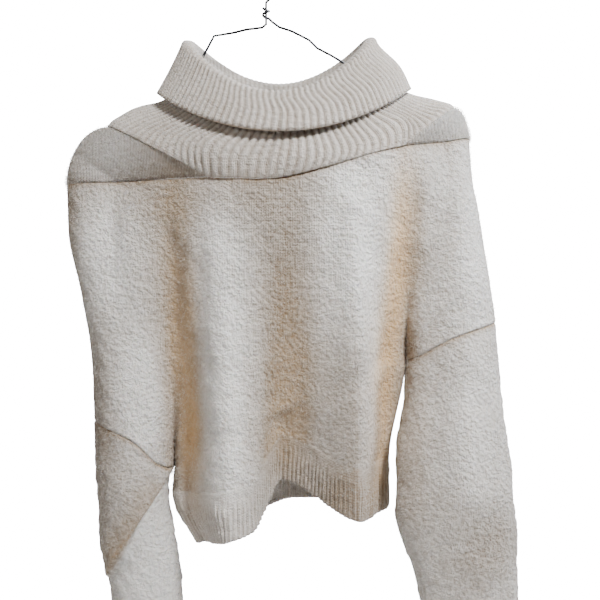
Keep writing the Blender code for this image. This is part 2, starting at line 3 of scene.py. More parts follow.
import bpy
import numpy as np
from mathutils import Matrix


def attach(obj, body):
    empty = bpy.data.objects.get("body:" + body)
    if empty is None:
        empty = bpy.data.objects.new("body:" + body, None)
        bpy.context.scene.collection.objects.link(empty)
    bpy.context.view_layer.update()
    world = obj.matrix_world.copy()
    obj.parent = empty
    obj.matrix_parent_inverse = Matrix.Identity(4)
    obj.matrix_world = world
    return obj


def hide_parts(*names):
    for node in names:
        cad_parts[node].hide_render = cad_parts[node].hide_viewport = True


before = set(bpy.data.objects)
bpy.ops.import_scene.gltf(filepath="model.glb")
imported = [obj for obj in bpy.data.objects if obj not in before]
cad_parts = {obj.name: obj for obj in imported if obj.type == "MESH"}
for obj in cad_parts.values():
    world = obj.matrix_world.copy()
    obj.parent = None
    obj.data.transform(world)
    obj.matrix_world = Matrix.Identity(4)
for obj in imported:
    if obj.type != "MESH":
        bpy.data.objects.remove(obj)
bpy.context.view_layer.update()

mm = 0.001
wall = 2.8
seamGap = 0.3
rightSetBack = dict(depth=12.0, start=92.0, width=40.0)

# Levels of a panel: 0 shoulder or neck seam, 1 armhole, 2 top of the hem rib, 3 hem edge
levels = (0.0, 0.2, 0.5, 0.8, 1.0, 2.0, 3.0)

# A row per fold: name, across at each level, depth at each level, height at top, armhole, rib, hem
frontFolds = (
    ("outer_left", (-210.9, -208.8, -192.9, -182.3, -180.7, -180.2, -180.2),
     (0, 0, 0, 0, 0, 0, 0), (-236.4, -483.4, -538.5, -570.3)),
    ("lobe_left", (-154.6, -155.0, -148.4, -141.6, -136.7, -137.0, -137.0),
     (28, 36, 44, 48, 47, 40, 40), (-236.7, -499.7, -541.4, -582.2)),
    ("valley_left", (-55.8, -84.0, -98.3, -94.6, -96.0, -99.1, -73.1),
     (68, 56, 40, 22, 5.5, 0, 0), (-236.8, -533.7, -560.7, -610.6)),
    ("trough_left", (-40.5, -65.9, -77.5, -79.2, -80.6, -81.9, -62.0),
     (74, 66, 52, 38, 26, 24, 26), (-238.5, -524.5, -559.0, -607.1)),
    ("ridge_left", (-22.6, -30.5, -34.4, -34.4, -34.5, -34.4, -33.3),
     (78, 77, 77, 77, 76, 77, 78), (-239.0, -493.4, -551.0, -595.8)),
    ("lip", (-8.8, -7.0, -8.0, -11.1, -12.2, -12.4, -11.5),
     (80, 78, 76, 73, 71, 68, 66), (-239.8, -480.4, -545.0, -589.0)),
    ("centre", (8.8, 20.4, 26.2, 27.1, 25.0, 18.8, 16.6),
     (81, 78, 71, 62, 57, 41, 34), (-239.4, -462.2, -498.6, -541.6)),
    ("ridge_right", (60.4, 77.0, 86.8, 90.8, 91.8, 91.7, 91.6),
     (80, 80, 79, 78, 77, 78, 80), (-228.6, -439.5, -532.2, -574.8)),
    ("trough_right", (100.6, 115.2, 122.6, 126.1, 127.0, 118.0, 117.0),
     (77, 67, 50, 34, 25, 22, 22), (-216.4, -427.5, -535.6, -580.1)),
    ("valley_right", (140.9, 148.8, 149.5, 147.2, 147.0, 131.0, 130.0),
     (58, 50, 36, 20, 5.5, 0, 0), (-204.5, -421.7, -532.1, -576.6)),
    ("lobe_right", (185.9, 186.6, 187.5, 190.1, 190.1, 190.7, 190.7),
     (25, 34, 41, 44, 44, 40, 40), (-195.0, -397.8, -480.4, -500.7)),
    ("outer_right", (214.7, 217.8, 227.9, 236.9, 242.2, 243.8, 243.8),
     (0, 0, 0, 0, 0, 0, 0), (-188.7, -381.6, -485.5, -506.7)),
)
backFolds = (
    ("outer_left", (-208.8, -203.0, -190.0, -182.3, -180.7, -180.2, -180.2),
     (0, 0, 0, 0, 0, 0, 0), (-262.0, -483.4, -538.5, -570.3)),
    ("lobe_left", (-160.0, -156.0, -148.0, -141.0, -137.0, -137.0, -137.0),
     (40, 43, 45, 46, 45, 40, 40), (-250.0, -499.7, -541.4, -582.2)),
    ("valley_left", (-108.0, -104.0, -98.0, -96.0, -96.0, -99.1, -73.1),
     (56, 50, 40, 24, 5.5, 0, 0), (-236.0, -533.7, -560.7, -610.6)),
    ("trough_left", (-90.0, -86.0, -82.0, -80.0, -80.0, -80.0, -60.0),
     (62, 60, 52, 42, 30, 30, 34), (-228.0, -520.0, -557.0, -604.0)),
    ("ridge_left", (-62.0, -56.0, -50.0, -46.0, -44.0, -42.0, -40.0),
     (67, 69, 71, 72, 72, 72, 73), (-218.0, -498.0, -550.0, -598.0)),
    ("lip", (-34.0, -26.0, -18.0, -14.0, -12.0, -10.0, -8.0),
     (70, 69, 68, 66, 62, 55, 52), (-209.0, -480.0, -542.0, -590.0)),
    ("centre", (12.0, 16.0, 20.0, 22.0, 22.0, 20.0, 20.0),
     (70, 71, 72, 74, 74, 72, 72), (-205.0, -462.0, -536.0, -584.0)),
    ("ridge_right", (60.0, 60.0, 62.0, 64.0, 66.0, 66.0, 66.0),
     (68, 66, 62, 58, 54, 48, 46), (-204.0, -445.0, -530.0, -577.0)),
    ("trough_right", (104.0, 106.0, 108.0, 108.0, 108.0, 106.0, 106.0),
     (62, 60, 52, 42, 32, 38, 42), (-206.0, -431.0, -530.0, -575.0)),
    ("valley_right", (150.0, 150.0, 150.0, 147.2, 147.0, 131.0, 130.0),
     (50, 46, 36, 20, 5.5, 0, 0), (-208.0, -421.7, -532.1, -576.6)),
    ("lobe_right", (184.0, 186.0, 188.0, 190.0, 190.1, 190.7, 190.7),
     (34, 38, 42, 44, 44, 40, 40), (-209.0, -397.8, -480.4, -500.7)),
    ("outer_right", (217.0, 219.0, 229.0, 236.9, 242.2, 243.8, 243.8),
     (0, 0, 0, 0, 0, 0, 0), (-213.0, -381.6, -485.5, -506.7)),
)
frontCounts = (4, 4, 2, 3, 2, 3, 4, 3, 2, 4, 4)
backCounts = (4, 4, 2, 2, 2, 2, 3, 2, 2, 4, 4)

# Where the neck seam crosses the shoulder, left then right: across, height
neckAtShoulder = ((-167.5, -176.0), (199.0, -156.0))

# A row per collar loop: name, across left and right, depth front and back, height left, right, front, back
collarLoops = (
    ("stand_low", -147.0, 184.0, 84.0, 74.0, -162.0, -150.5, -225.0, -192.0),
    ("stand_mid", -104.0, 143.0, 80.0, 68.0, -147.0, -138.5, -198.0, -166.0),
    ("fold", -82.0, 110.0, 73.0, 62.0, -90.0, -87.0, -160.0, -122.0),
    ("turn_mid", -99.0, 139.0, 86.0, 74.0, -115.0, -112.0, -177.0, -140.0),
    ("edge", -113.0, 151.0, 91.0, 80.0, -140.5, -136.0, -195.0, -160.0),
)

# A row per sleeve loop: height, across left and right, depth of middle, half depth
sleeveLeftLoops = (
    (-549.0, -177.2, -101.8, -4, 44), (-572.0, -175.5, -101.3, -7, 42),
    (-605.1, -174.1, -94.2, -9, 38), (-641.9, -167.7, -90.0, -9, 34),
    (-695.1, -159.7, -86.1, -7, 32), (-759.9, -156.3, -85.5, -3, 30),
    (-824.7, -153.7, -88.0, 0, 28),
)
sleeveRightLoops = (
    (-447.8, 146.5, 246.8, -8, 42), (-482.7, 140.0, 248.6, -24, 38),
    (-522.1, 134.3, 250.6, -36, 34), (-566.9, 133.0, 253.8, -42, 32),
    (-607.6, 140.9, 256.9, -40, 31), (-638.7, 153.3, 258.3, -38, 30),
    (-706.4, 163.0, 257.2, -34, 29), (-759.3, 167.6, 255.0, -30, 28),
)

# Settings of each piece: counts, shares, and lengths in millimetres, but flatWidth and spread in metres
panel = dict(columns=5, upperRows=104, lowerRows=24, unevenness=1.2, edgeColumns=8.0, foldFade=14.0,
             pileFade=3.0, lowPileFade=4.0, roundFrom=0.5, roundMost=0.8)
seamRoll = dict(dip=1.0, reach=2.2, ridge=1.1, ridgeAt=3.5, ridgeWidth=2.2)
# Painted shade under the collar, strongest at the neck seam
neckShade = dict(most=1.6, reach=2.5)
# Painted shade in the hollows between folds, painted light on the crests down to least, painted glow in the
# deepest hollows
hollows = dict(folds=5, depth=14.0, least=-0.3, shade=0.35, warm=0.2)
frontStitches = dict(least=0.12, more=0.25, across=10.0, height=-280.0, halfWidth=90.0, halfHeight=70.0)
backStitches = dict(cloth=0.15, strap=0.95, loss=0.8, lossStart=30, lossRows=25.0)
strap = dict(frontRows=22, backRows=40)
# The sleeve's seamShade is a painted shadow below the armhole seam
sleeve = dict(around=128, rows=118, rowPower=1.1, unevenness=1.3, seamShade=2.2, seamShadeReach=2.5,
              underarmTuck=1.2, underarmDrop=0.3, drop=0.2, knit=0.15, flatWidth=0.34)
# The step fold of the left sleeve: a point of its edge, its slope and depth, where it runs out, its painted
# shade above the fold, painted light below it and painted shadow line along it
stepFold = dict(across=-103.0, height=-545.0, slope=1.6, depth=12.0, width=6.0, end=-790.0, endFade=90.0,
                shadeEnd=-800.0, shadeReach=60.0, shade=0.9, light=1.3, line=1.6, shadowLineWidth=2.6,
                lip=4.5, lipAbove=7.0, lipWidth=9.0, seamClear=4.0, seamFade=20.0)
collar = dict(ribs=100, pointsPerRib=6, ribPower=0.6, rise=2.0, foldRadius=5.2, foldSteps=5, wave=0.5,
              waveCell=60.0, waveFade=12.0, seamLift=0.6, riseReach=5.0, outEnd=0.6, inStart=0.3,
              inReach=0.5, angleSteps=1441, knit=0.25, flatWidth=0.9)
collarRows = (9, 9, 12, 3, 3, 3, 3, 6, 6)
# How far each loop's ribs have moved from the seam's spacing to the fold's
collarBlend = dict(stand_low=0.25, stand_mid=0.6, fold=1.0, turn_mid=1.0, edge=1.0)
band = dict(ribs=136, pointsPerRib=6, ribPower=0.8, rows=18, rise=1.5, start=1.9, cover=0.25,
            unevenness=0.5, riseEnd=0.55, pileStart=0.2, groove=0.6, knit=0.3, flatWidth=0.8)
cuff = dict(ribs=44, pointsPerRib=6, ribPower=0.8, rows=14, rise=1.4, riseEnd=0.12, length=52.0,
            narrowing=0.10, narrowingEnd=0.35, dip=0.6, dipReach=3.0, knit=0.2, flatWidth=0.2)
pile = dict(cell=5.5, height=0.95, coarseCell=17.0, coarseHeight=0.9, coarseShift=7.3, lattice=32, seed=4)
fuzz = dict(perSquareMetre=140000, length=4.2, shortest=0.35, width=0.26, lean=1.1, leanShare=0.55,
            leastRise=0.15, spread=0.0011, footAngles=(0.0, 2.1, 4.2), ribShare=0.5, seed=11)
creaseShape = dict(narrow=0.8, widening=0.4, endFade=25.0, sideStart=2.0, sideFade=12.0)
# The scale, detail and roughness of each noise; stitches to a metre; what each adds to height and to painted
# shade and glow
woolLook = dict(nap=(420.0, 5.0, 0.7), pills=(240.0, 2.0, 0.5), patches=(22.0, 3.0, 0.5),
                fibre=(1500.0, 2.0, 0.5), columns=300.0, rows=380.0, legSlant=0.8, loop=0.35,
                napHeight=0.8, pillHeight=2.0, fibreHeight=0.25, stitchHeight=0.7,
                bump=0.9, bumpDistance=0.0048, pillShadingMiddle=0.5, pillShading=0.65, patchMiddle=0.55, patch=0.3,
                gapLevel=0.55, gap=0.8, groove=0.32, shade=0.9, warm=0.6)

# Creases, listed one by one: name, side of the sweater, across and height at both ends, width, rise
creases = (
    ("left_lobe_lip", -1, -140.0, -255.0, -112.0, -480.0, 15.0, 4.5),
    ("left_trough", -1, -100.0, -270.0, -82.0, -500.0, 15.0, -6.0),
    ("left_ridge_crest", -1, -50.0, -290.0, -34.0, -520.0, 13.0, 4.5),
    ("left_ridge_fall", -1, 2.0, -300.0, 12.0, -500.0, 16.0, -3.0),
    ("centre_swell", -1, 48.0, -270.0, 40.0, -420.0, 16.0, 2.0),
    ("right_ridge_crest", -1, 84.0, -260.0, 92.0, -520.0, 14.0, 3.5),
    ("right_trough", -1, 138.0, -225.0, 124.0, -480.0, 13.0, -3.2),
    ("right_lobe_edge", -1, 165.0, -215.0, 152.0, -400.0, 9.0, 4.0),
    ("right_lobe_swell", -1, 200.0, -230.0, 214.0, -380.0, 16.0, 2.0),
    ("neck_pull", -1, -60.0, -250.0, -110.0, -330.0, 12.0, 1.6),
    ("right_neck_pull", -1, 60.0, -245.0, 128.0, -300.0, 12.0, 1.8),
    ("back_left_fold", 1, -120.0, -250.0, -96.0, -500.0, 15.0, -4.5),
    ("back_ridge", 1, -52.0, -240.0, -40.0, -520.0, 16.0, 3.0),
    ("back_middle_fold", 1, -6.0, -260.0, 4.0, -500.0, 15.0, -3.5),
    ("back_right_ridge", 1, 62.0, -230.0, 52.0, -510.0, 17.0, 2.5),
    ("back_right_fold", 1, 118.0, -230.0, 112.0, -500.0, 14.0, -4.5),
    ("back_right_lobe", 1, 170.0, -250.0, 186.0, -390.0, 14.0, 2.0),
)
sleeveCreases = (
    ("left_elbow_pull", -1, -176.0, -520.0, -120.0, -575.0, 9.0, 1.8),
    ("left_under_pull", -1, -110.0, -560.0, -150.0, -640.0, 9.0, -2.6),
    ("left_patch", -1, -160.0, -612.0, -136.0, -630.0, 6.0, 1.6),
    ("left_low_fold", -1, -155.0, -690.0, -100.0, -720.0, 12.0, 2.0),
    ("right_upper_band", -1, 205.0, -400.0, 200.0, -560.0, 13.0, 2.4),
    ("right_inner_band", -1, 172.0, -420.0, 168.0, -600.0, 11.0, -2.4),
    ("right_low_pull", -1, 240.0, -560.0, 170.0, -620.0, 15.0, -3.2),
    ("right_low_swell", -1, 244.0, -600.0, 190.0, -670.0, 15.0, 3.0),
    ("right_wrist_pull", -1, 180.0, -700.0, 240.0, -740.0, 13.0, 2.4),
    ("back_left_pull", 1, -160.0, -560.0, -110.0, -620.0, 13.0, 2.6),
    ("back_left_low", 1, -110.0, -680.0, -150.0, -740.0, 13.0, -2.4),
    ("back_right_pull", 1, 160.0, -470.0, 230.0, -540.0, 16.0, 3.0),
    ("back_right_low", 1, 230.0, -600.0, 180.0, -680.0, 14.0, -2.6),
)

# Painted light, shade and glow on the front, as soft spots: name, across, height, half width, half height,
# warm (painted glow of light through the cloth), shade (painted shade, painted light below 0)
paintedLightSpots = (
    ("left_ridge_light", -42.0, -350.0, 24.0, 90.0, 0.00, -0.75),
    ("left_ridge_low_light", -38.0, -490.0, 20.0, 80.0, 0.00, -0.65),
    ("left_lobe_light_high", -160.0, -305.0, 24.0, 70.0, 0.00, -0.60),
    ("left_lobe_light_low", -122.0, -455.0, 24.0, 60.0, 0.00, -0.70),
    ("right_ridge_light", 84.0, -290.0, 34.0, 90.0, 0.00, -0.60),
    ("right_lobe_light", 218.0, -300.0, 20.0, 120.0, 0.00, -0.25),
    ("right_sleeve_light", 205.0, -480.0, 22.0, 80.0, 0.00, -0.20),
    ("right_trough_high", 140.0, -270.0, 14.0, 60.0, 0.85, -0.10),
    ("right_trough_mid", 134.0, -350.0, 11.0, 60.0, 1.30, -0.30),
    ("right_trough_low", 122.0, -440.0, 13.0, 70.0, 1.20, -0.20),
    ("right_edge_low", 118.0, -530.0, 12.0, 40.0, 0.60, 0.05),
    ("left_trough_high", -90.0, -300.0, 20.0, 70.0, 0.30, 0.35),
    ("left_trough_mid", -80.0, -400.0, 16.0, 70.0, 0.75, 0.45),
    ("left_trough_low", -74.0, -500.0, 13.0, 60.0, 1.10, 0.40),
    ("centre_high", 22.0, -340.0, 36.0, 80.0, 0.15, 0.30),
    ("centre_mid", 24.0, -430.0, 34.0, 60.0, 0.22, 0.35),
    ("centre_low", 16.0, -500.0, 26.0, 40.0, 0.30, 0.40),
    ("right_ridge_low", 88.0, -470.0, 34.0, 80.0, 0.05, 0.35),
    ("right_ridge_hem", 90.0, -560.0, 50.0, 36.0, 0.00, 0.50),
    ("chest_shade", -60.0, -250.0, 120.0, 32.0, 0.12, 0.30),
    ("left_sleeve_low", -170.0, -575.0, 40.0, 110.0, 0.00, 0.25),
    ("left_sleeve_light_patch", -120.0, -650.0, 22.0, 40.0, 0.00, -0.60),
    ("left_lobe_low", -172.0, -455.0, 20.0, 80.0, 0.00, 0.38),
    ("left_lobe_edge", -206.0, -330.0, 14.0, 130.0, 0.00, 0.40),
    ("right_sleeve_low", 225.0, -600.0, 50.0, 45.0, 0.00, 0.35),
    ("right_sleeve_inner", 150.0, -500.0, 16.0, 70.0, 0.10, 0.25),
    ("left_shoulder_light", -150.0, -205.0, 50.0, 26.0, 0.00, -0.25),
    ("right_shoulder_light", 190.0, -165.0, 40.0, 22.0, 0.00, -0.30),
    ("collar_warm", -20.0, -198.0, 60.0, 20.0, 0.55, 0.00),
    ("collar_left", -110.0, -165.0, 50.0, 30.0, 0.10, 0.35),
    ("collar_turn_left", -60.0, -135.0, 45.0, 40.0, 0.05, 0.40),
    ("collar_front_low", -20.0, -180.0, 80.0, 10.0, 0.10, 0.20),
    ("collar_right", 85.0, -150.0, 70.0, 50.0, 0.00, -0.40),
)
# The painted shade that all cloth starts from, the most painted glow, and how far a point must face the
# front to take the spots
baseShade = 0.50
warmMost = 1.2
frontFacing = dict(start=0.1, width=0.5)


def ease(t):
    t = np.clip(t, 0.0, 1.0)
    return t * t * (3 - 2 * t)


def unit(v):
    return v / np.maximum(np.linalg.norm(v, axis=-1, keepdims=True), 1e-9)


def slopesOf(x, y):  # slopes that never overshoot, along the last axis
    step = np.diff(x, axis=-1)
    rise = np.diff(y, axis=-1) / step
    a = 2 * step[..., 1:] + step[..., :-1]
    b = step[..., 1:] + 2 * step[..., :-1]
    same = rise[..., :-1] * rise[..., 1:] > 0
    low = np.where(same, rise[..., :-1], 1.0)
    high = np.where(same, rise[..., 1:], 1.0)
    middle = np.where(same, (a + b) / (a / low + b / high), 0.0)
    return np.concatenate([rise[..., :1], middle, rise[..., -1:]], axis=-1)


def cubic(y, slope, seg, h, t):
    # A cubic through both ends of each step, with the slopes given there
    low = (1 + 2 * t) * (1 - t) ** 2 * y[..., seg] + t * (1 - t) ** 2 * h * slope[..., seg]
    return low + t * t * (3 - 2 * t) * y[..., seg + 1] - t * t * (1 - t) * h * slope[..., seg + 1]


def curveAt(x, y, seg, at):  # the curve through (x, y) at places in known steps
    x0, x1 = x[..., seg], x[..., seg + 1]
    h = x1 - x0
    return cubic(y, slopesOf(x, y), seg, h, np.clip((at - x0) / h, 0.0, 1.0))


def stepsOf(places, at):  # the step between places that holds each point
    return np.clip(np.searchsorted(places, at, side="right") - 1, 0, len(places) - 2)


def smooth(x, y, at):
    x = np.asarray(x, float)
    return curveAt(x, np.asarray(y, float), stepsOf(x, at), np.asarray(at, float))


def foldGrid(folds, counts, rows, side):
    # A grid of points: each row is a level, columns run through the folds; rounded at the outer folds
    across = np.stack([smooth(levels, f[1], rows) for f in folds], axis=1)
    depth = np.stack([smooth(levels, f[2], rows) for f in folds], axis=1)
    height = np.stack([np.interp(rows, (0, 1, 2, 3), f[3]) for f in folds], axis=1)
    last = len(counts) - 1
    finer = panel["columns"]
    seg = np.concatenate([np.full(n * finer, k) for k, n in enumerate(counts)] + [[last]])
    f = np.concatenate([np.arange(n * finer) / (n * finer) for n in counts] + [[1.0]])
    lowFirst = np.isin(seg, (0, 2, last - 1))
    ends = np.isin(seg, (0, last))
    near = np.isin(seg, (1, 2, last - 2, last - 1))
    level = rows[:, None]
    rounding = panel["roundMost"] * ease((level - panel["roundFrom"]) / (1 - panel["roundFrom"]))
    weight = np.where(ends, 1.0, np.where(near, np.where(level > 1, 1.0, rounding), 0.0))
    x0, x1, d0, d1 = across[:, seg], across[:, seg + 1], depth[:, seg], depth[:, seg + 1]
    x = x0 + (x1 - x0) * f
    d = curveAt(across, depth, seg, x)
    turn = np.where(lowFirst, f, 1 - f) * math.pi / 2
    xl, xh = np.where(lowFirst, x0, x1), np.where(lowFirst, x1, x0)
    dl, dh = np.where(lowFirst, d0, d1), np.where(lowFirst, d1, d0)
    x = x + (xh + (xl - xh) * np.cos(turn) - x) * weight
    d = d + (dl + (dh - dl) * np.sin(turn) - d) * weight
    z = curveAt(across, height, seg, x)
    toRight = ease((x - rightSetBack["start"]) / rightSetBack["width"])
    return np.stack([x, side * d + rightSetBack["depth"] * ease(level - 1.0) * toRight, z], axis=-1)


def gridNormals(grid, turn=1.0):
    return unit(np.cross(np.gradient(grid, axis=1), np.gradient(grid, axis=0))) * turn


def tubeNormals(grid):
    around = np.roll(grid, -1, axis=1) - np.roll(grid, 1, axis=1)
    return unit(np.cross(around, np.gradient(grid, axis=0)))


def unevenness(grid, size):
    # Slow waves in three directions, of lengths in millimetres, so no two patches of cloth lie alike
    x, y, z = grid[..., 0], grid[..., 1], grid[..., 2]
    a = np.sin(x / 13.0 + z / 31.0 + 0.9) * np.sin(z / 19.0 - x / 47.0)
    b = np.sin(x / 27.0 - z / 14.0 + y / 23.0) * np.sin(z / 41.0 + 1.7)
    c = np.sin(x / 7.5 + z / 9.0) * np.sin(z / 8.1 - y / 11.0 + x / 29.0)
    return size * (0.55 * a + 0.45 * b + 0.18 * c)


noiseTable = np.random.default_rng(pile["seed"]).uniform(-1.0, 1.0, (pile["lattice"],) * 3)


def lumps(points, cell):
    # Smooth noise between the corners of a lattice of random values
    at = points / cell
    low = np.floor(at).astype(int)
    mix = ease(at - low)
    total = 0.0
    for corner in range(8):
        step = np.array([corner & 1, corner >> 1 & 1, corner >> 2 & 1])
        x, y, z = np.moveaxis((low + step) % pile["lattice"], -1, 0)
        total = total + noiseTable[x, y, z] * np.prod(np.where(step, mix, 1 - mix), axis=-1)
    return total


def pileOf(points):
    fine = pile["height"] * lumps(points, pile["cell"])
    return fine + pile["coarseHeight"] * lumps(points + pile["coarseShift"], pile["coarseCell"])


def faded(push, run, reach):
    # push, brought to nothing at both ends of a run
    return push * ease(run / reach) * ease((run[-1] - run) / reach)


def edgeFade(count):
    step = np.arange(count)
    return ease(np.minimum(step, step[::-1]) / panel["edgeColumns"])


def ribWave(settings):
    # 1 on each rib's crest and 0 between ribs, and the share of the way round at each point
    step = np.arange(settings["ribs"] * settings["pointsPerRib"])
    wave = (0.5 + 0.5 * np.cos(step / settings["pointsPerRib"] * 2 * math.pi)) ** settings["ribPower"]
    return wave, step / len(step)


def creaseOf(points, table):
    # Each crease swells or sinks the cloth on its own side, softly at its ends
    push = np.zeros(points.shape[:-1])
    fade = creaseShape["endFade"]
    for name, side, x0, z0, x1, z1, width, rise in table:
        along = np.array([x1 - x0, z1 - z0])
        length = np.linalg.norm(along)
        along = along / length
        dx, dz = points[..., 0] - x0, points[..., 2] - z0
        run = dx * along[0] + dz * along[1]
        off = dx * -along[1] + dz * along[0]
        spread = width * (creaseShape["narrow"] + creaseShape["widening"] * np.clip(run / length, 0.0, 1.0))
        ends = ease((run + fade) / (2 * fade)) * ease((length + fade - run) / (2 * fade))
        onSide = ease((side * points[..., 1] + creaseShape["sideStart"]) / creaseShape["sideFade"])
        push += rise * np.exp(-((off / spread) ** 2)) * ends * onSide
    return push


def paintedLightOf(points, front):
    # Painted light, shade and glow from the spots; front is 1 where the cloth faces the front, which alone
    # takes them
    warm = np.zeros(len(points))
    shade = np.zeros(len(points))
    for name, x, z, w, h, warmth, dark in paintedLightSpots:
        spot = np.exp(-(((points[:, 0] - x) / w) ** 2) - ((points[:, 2] - z) / h) ** 2) * front
        warm += spot * warmth
        shade += spot * dark
    return np.clip(warm, 0, warmMost), shade + baseShade


def hollowOf(grid, side):
    # How far each point of a panel lies behind the mean of the cloth on both sides of it, which sets the
    # painted shade in the hollows and painted light on the crests
    depth = grid[..., 1] * side
    reach = hollows["folds"] * panel["columns"]
    padded = np.pad(depth, ((0, 0), (reach, reach)), mode="edge")
    run = np.cumsum(np.pad(padded, ((0, 0), (1, 0))), axis=1)
    mean = (run[:, 2 * reach + 1:] - run[:, :-2 * reach - 1]) / (2 * reach + 1)
    return np.clip((mean - depth) / hollows["depth"], hollows["least"], 1.0)


def runOf(grid, axis):  # distance run along an axis of a grid, in metres
    steps = np.linalg.norm(np.diff(grid, axis=axis), axis=-1)
    start = np.zeros_like(steps[:1] if axis == 0 else steps[:, :1])
    return np.concatenate([start, np.cumsum(steps, axis=axis)], axis=axis) * mm


def resample(line, fractions, closed=True):
    if closed:
        line = np.concatenate([line, line[:1]])
    run = np.concatenate([[0.0], np.cumsum(np.linalg.norm(np.diff(line, axis=0), axis=1))])
    at = np.asarray(fractions) * run[-1]
    return np.stack([np.interp(at, run, line[:, i]) for i in range(line.shape[1])], axis=1)


def quadsOf(index, closed=False):
    if closed:
        index = np.concatenate([index, index[:, :1]], axis=1)
    a, b, c, d = index[:-1, :-1], index[1:, :-1], index[1:, 1:], index[:-1, 1:]
    return np.stack([a, b, c, d], axis=-1).reshape(-1, 4)


def tubeOf(grid, width, run):
    # The faces of a closed tube, and each point's place on the flat cloth
    count = grid.shape[1]
    index = np.arange(grid.shape[0] * count).reshape(-1, count)
    across = np.broadcast_to(np.arange(count) / count * width, index.shape)
    return quadsOf(index, True), np.stack([across.ravel(), run.ravel()], axis=1)


def bareMesh(name, points, faces):  # points in metres; all faces have as many corners
    mesh = bpy.data.meshes.new(name)
    mesh.vertices.add(len(points))
    mesh.vertices.foreach_set("co", points.astype(np.float32).ravel())
    mesh.loops.add(faces.size)
    mesh.loops.foreach_set("vertex_index", faces.ravel().astype(np.int32))
    mesh.polygons.add(len(faces))
    mesh.polygons.foreach_set("loop_start", (np.arange(len(faces)) * faces.shape[1]).astype(np.int32))
    return mesh


def pieceOf(mesh, material):
    mesh.update()
    mesh.validate()
    piece = bpy.data.objects.new(mesh.name, mesh)
    bpy.context.scene.collection.objects.link(piece)
    mesh.materials.append(material)
    return piece


def makeCloth(name, points, quads, flatUv, knit, material, groove=0.0, turned=False, paintedShade=0.0):
    # points in millimetres; flatUv is each point's place on the flat cloth, in metres
    if turned:
        quads = quads[:, ::-1]
    mesh = bareMesh(name, points * mm, quads)
    mesh.polygons.foreach_set("use_smooth", np.ones(len(quads), bool))
    uv = mesh.uv_layers.new(name="flat")
    uv.data.foreach_set("uv", flatUv[quads.ravel()].astype(np.float32).ravel())
    mesh.update()
    facing = np.zeros(len(points) * 3)
    mesh.vertex_normals.foreach_get("vector", facing)
    # Painted light and shade: the spots on the front, then the painted shade given for hollows, seams and
    # folds, and painted shade in the rib grooves; painted glow in the deepest hollows
    warm, shade = paintedLightOf(points, ease((frontFacing["start"] - facing[1::3]) / frontFacing["width"]))
    shade = np.clip(shade + hollows["shade"] * paintedShade, 0, 1)
    warm = warm + hollows["warm"] * np.maximum(paintedShade, 0)
    ones = np.ones(len(points))
    for label, value in (("warm", warm), ("shade", shade), ("knit", ones * knit), ("groove", ones * groove)):
        layer = mesh.attributes.new(label, "FLOAT", "POINT")
        layer.data.foreach_set("value", value.astype(np.float32))
    piece = pieceOf(mesh, material)
    shell = piece.modifiers.new("wall", "SOLIDIFY")
    shell.thickness = wall * mm
    shell.offset = -1.0
    return piece


def areaOf(piece):
    mesh = piece.data
    areas = np.zeros(len(mesh.polygons))
    mesh.polygons.foreach_get("area", areas)
    return float(areas.sum())


# Materials
def mathNode(tree, operation, a, b=None, clamp=False):
    node = tree.nodes.new("ShaderNodeMath")
    node.operation = operation
    node.use_clamp = clamp
    for i, value in enumerate((a, b)):
        if value is None:
            continue
        if isinstance(value, (int, float)):
            node.inputs[i].default_value = value
        else:
            tree.links.new(value, node.inputs[i])
    return node.outputs[0]


def noiseNode(tree, place, scale, detail, roughness):
    node = tree.nodes.new("ShaderNodeTexNoise")
    node.inputs["Scale"].default_value = scale
    node.inputs["Detail"].default_value = detail
    node.inputs["Roughness"].default_value = roughness
    tree.links.new(place, node.inputs["Vector"])
    return node.outputs["Fac"]


def attributeNode(tree, name):
    node = tree.nodes.new("ShaderNodeAttribute")
    node.attribute_name = name
    return node.outputs["Fac"]


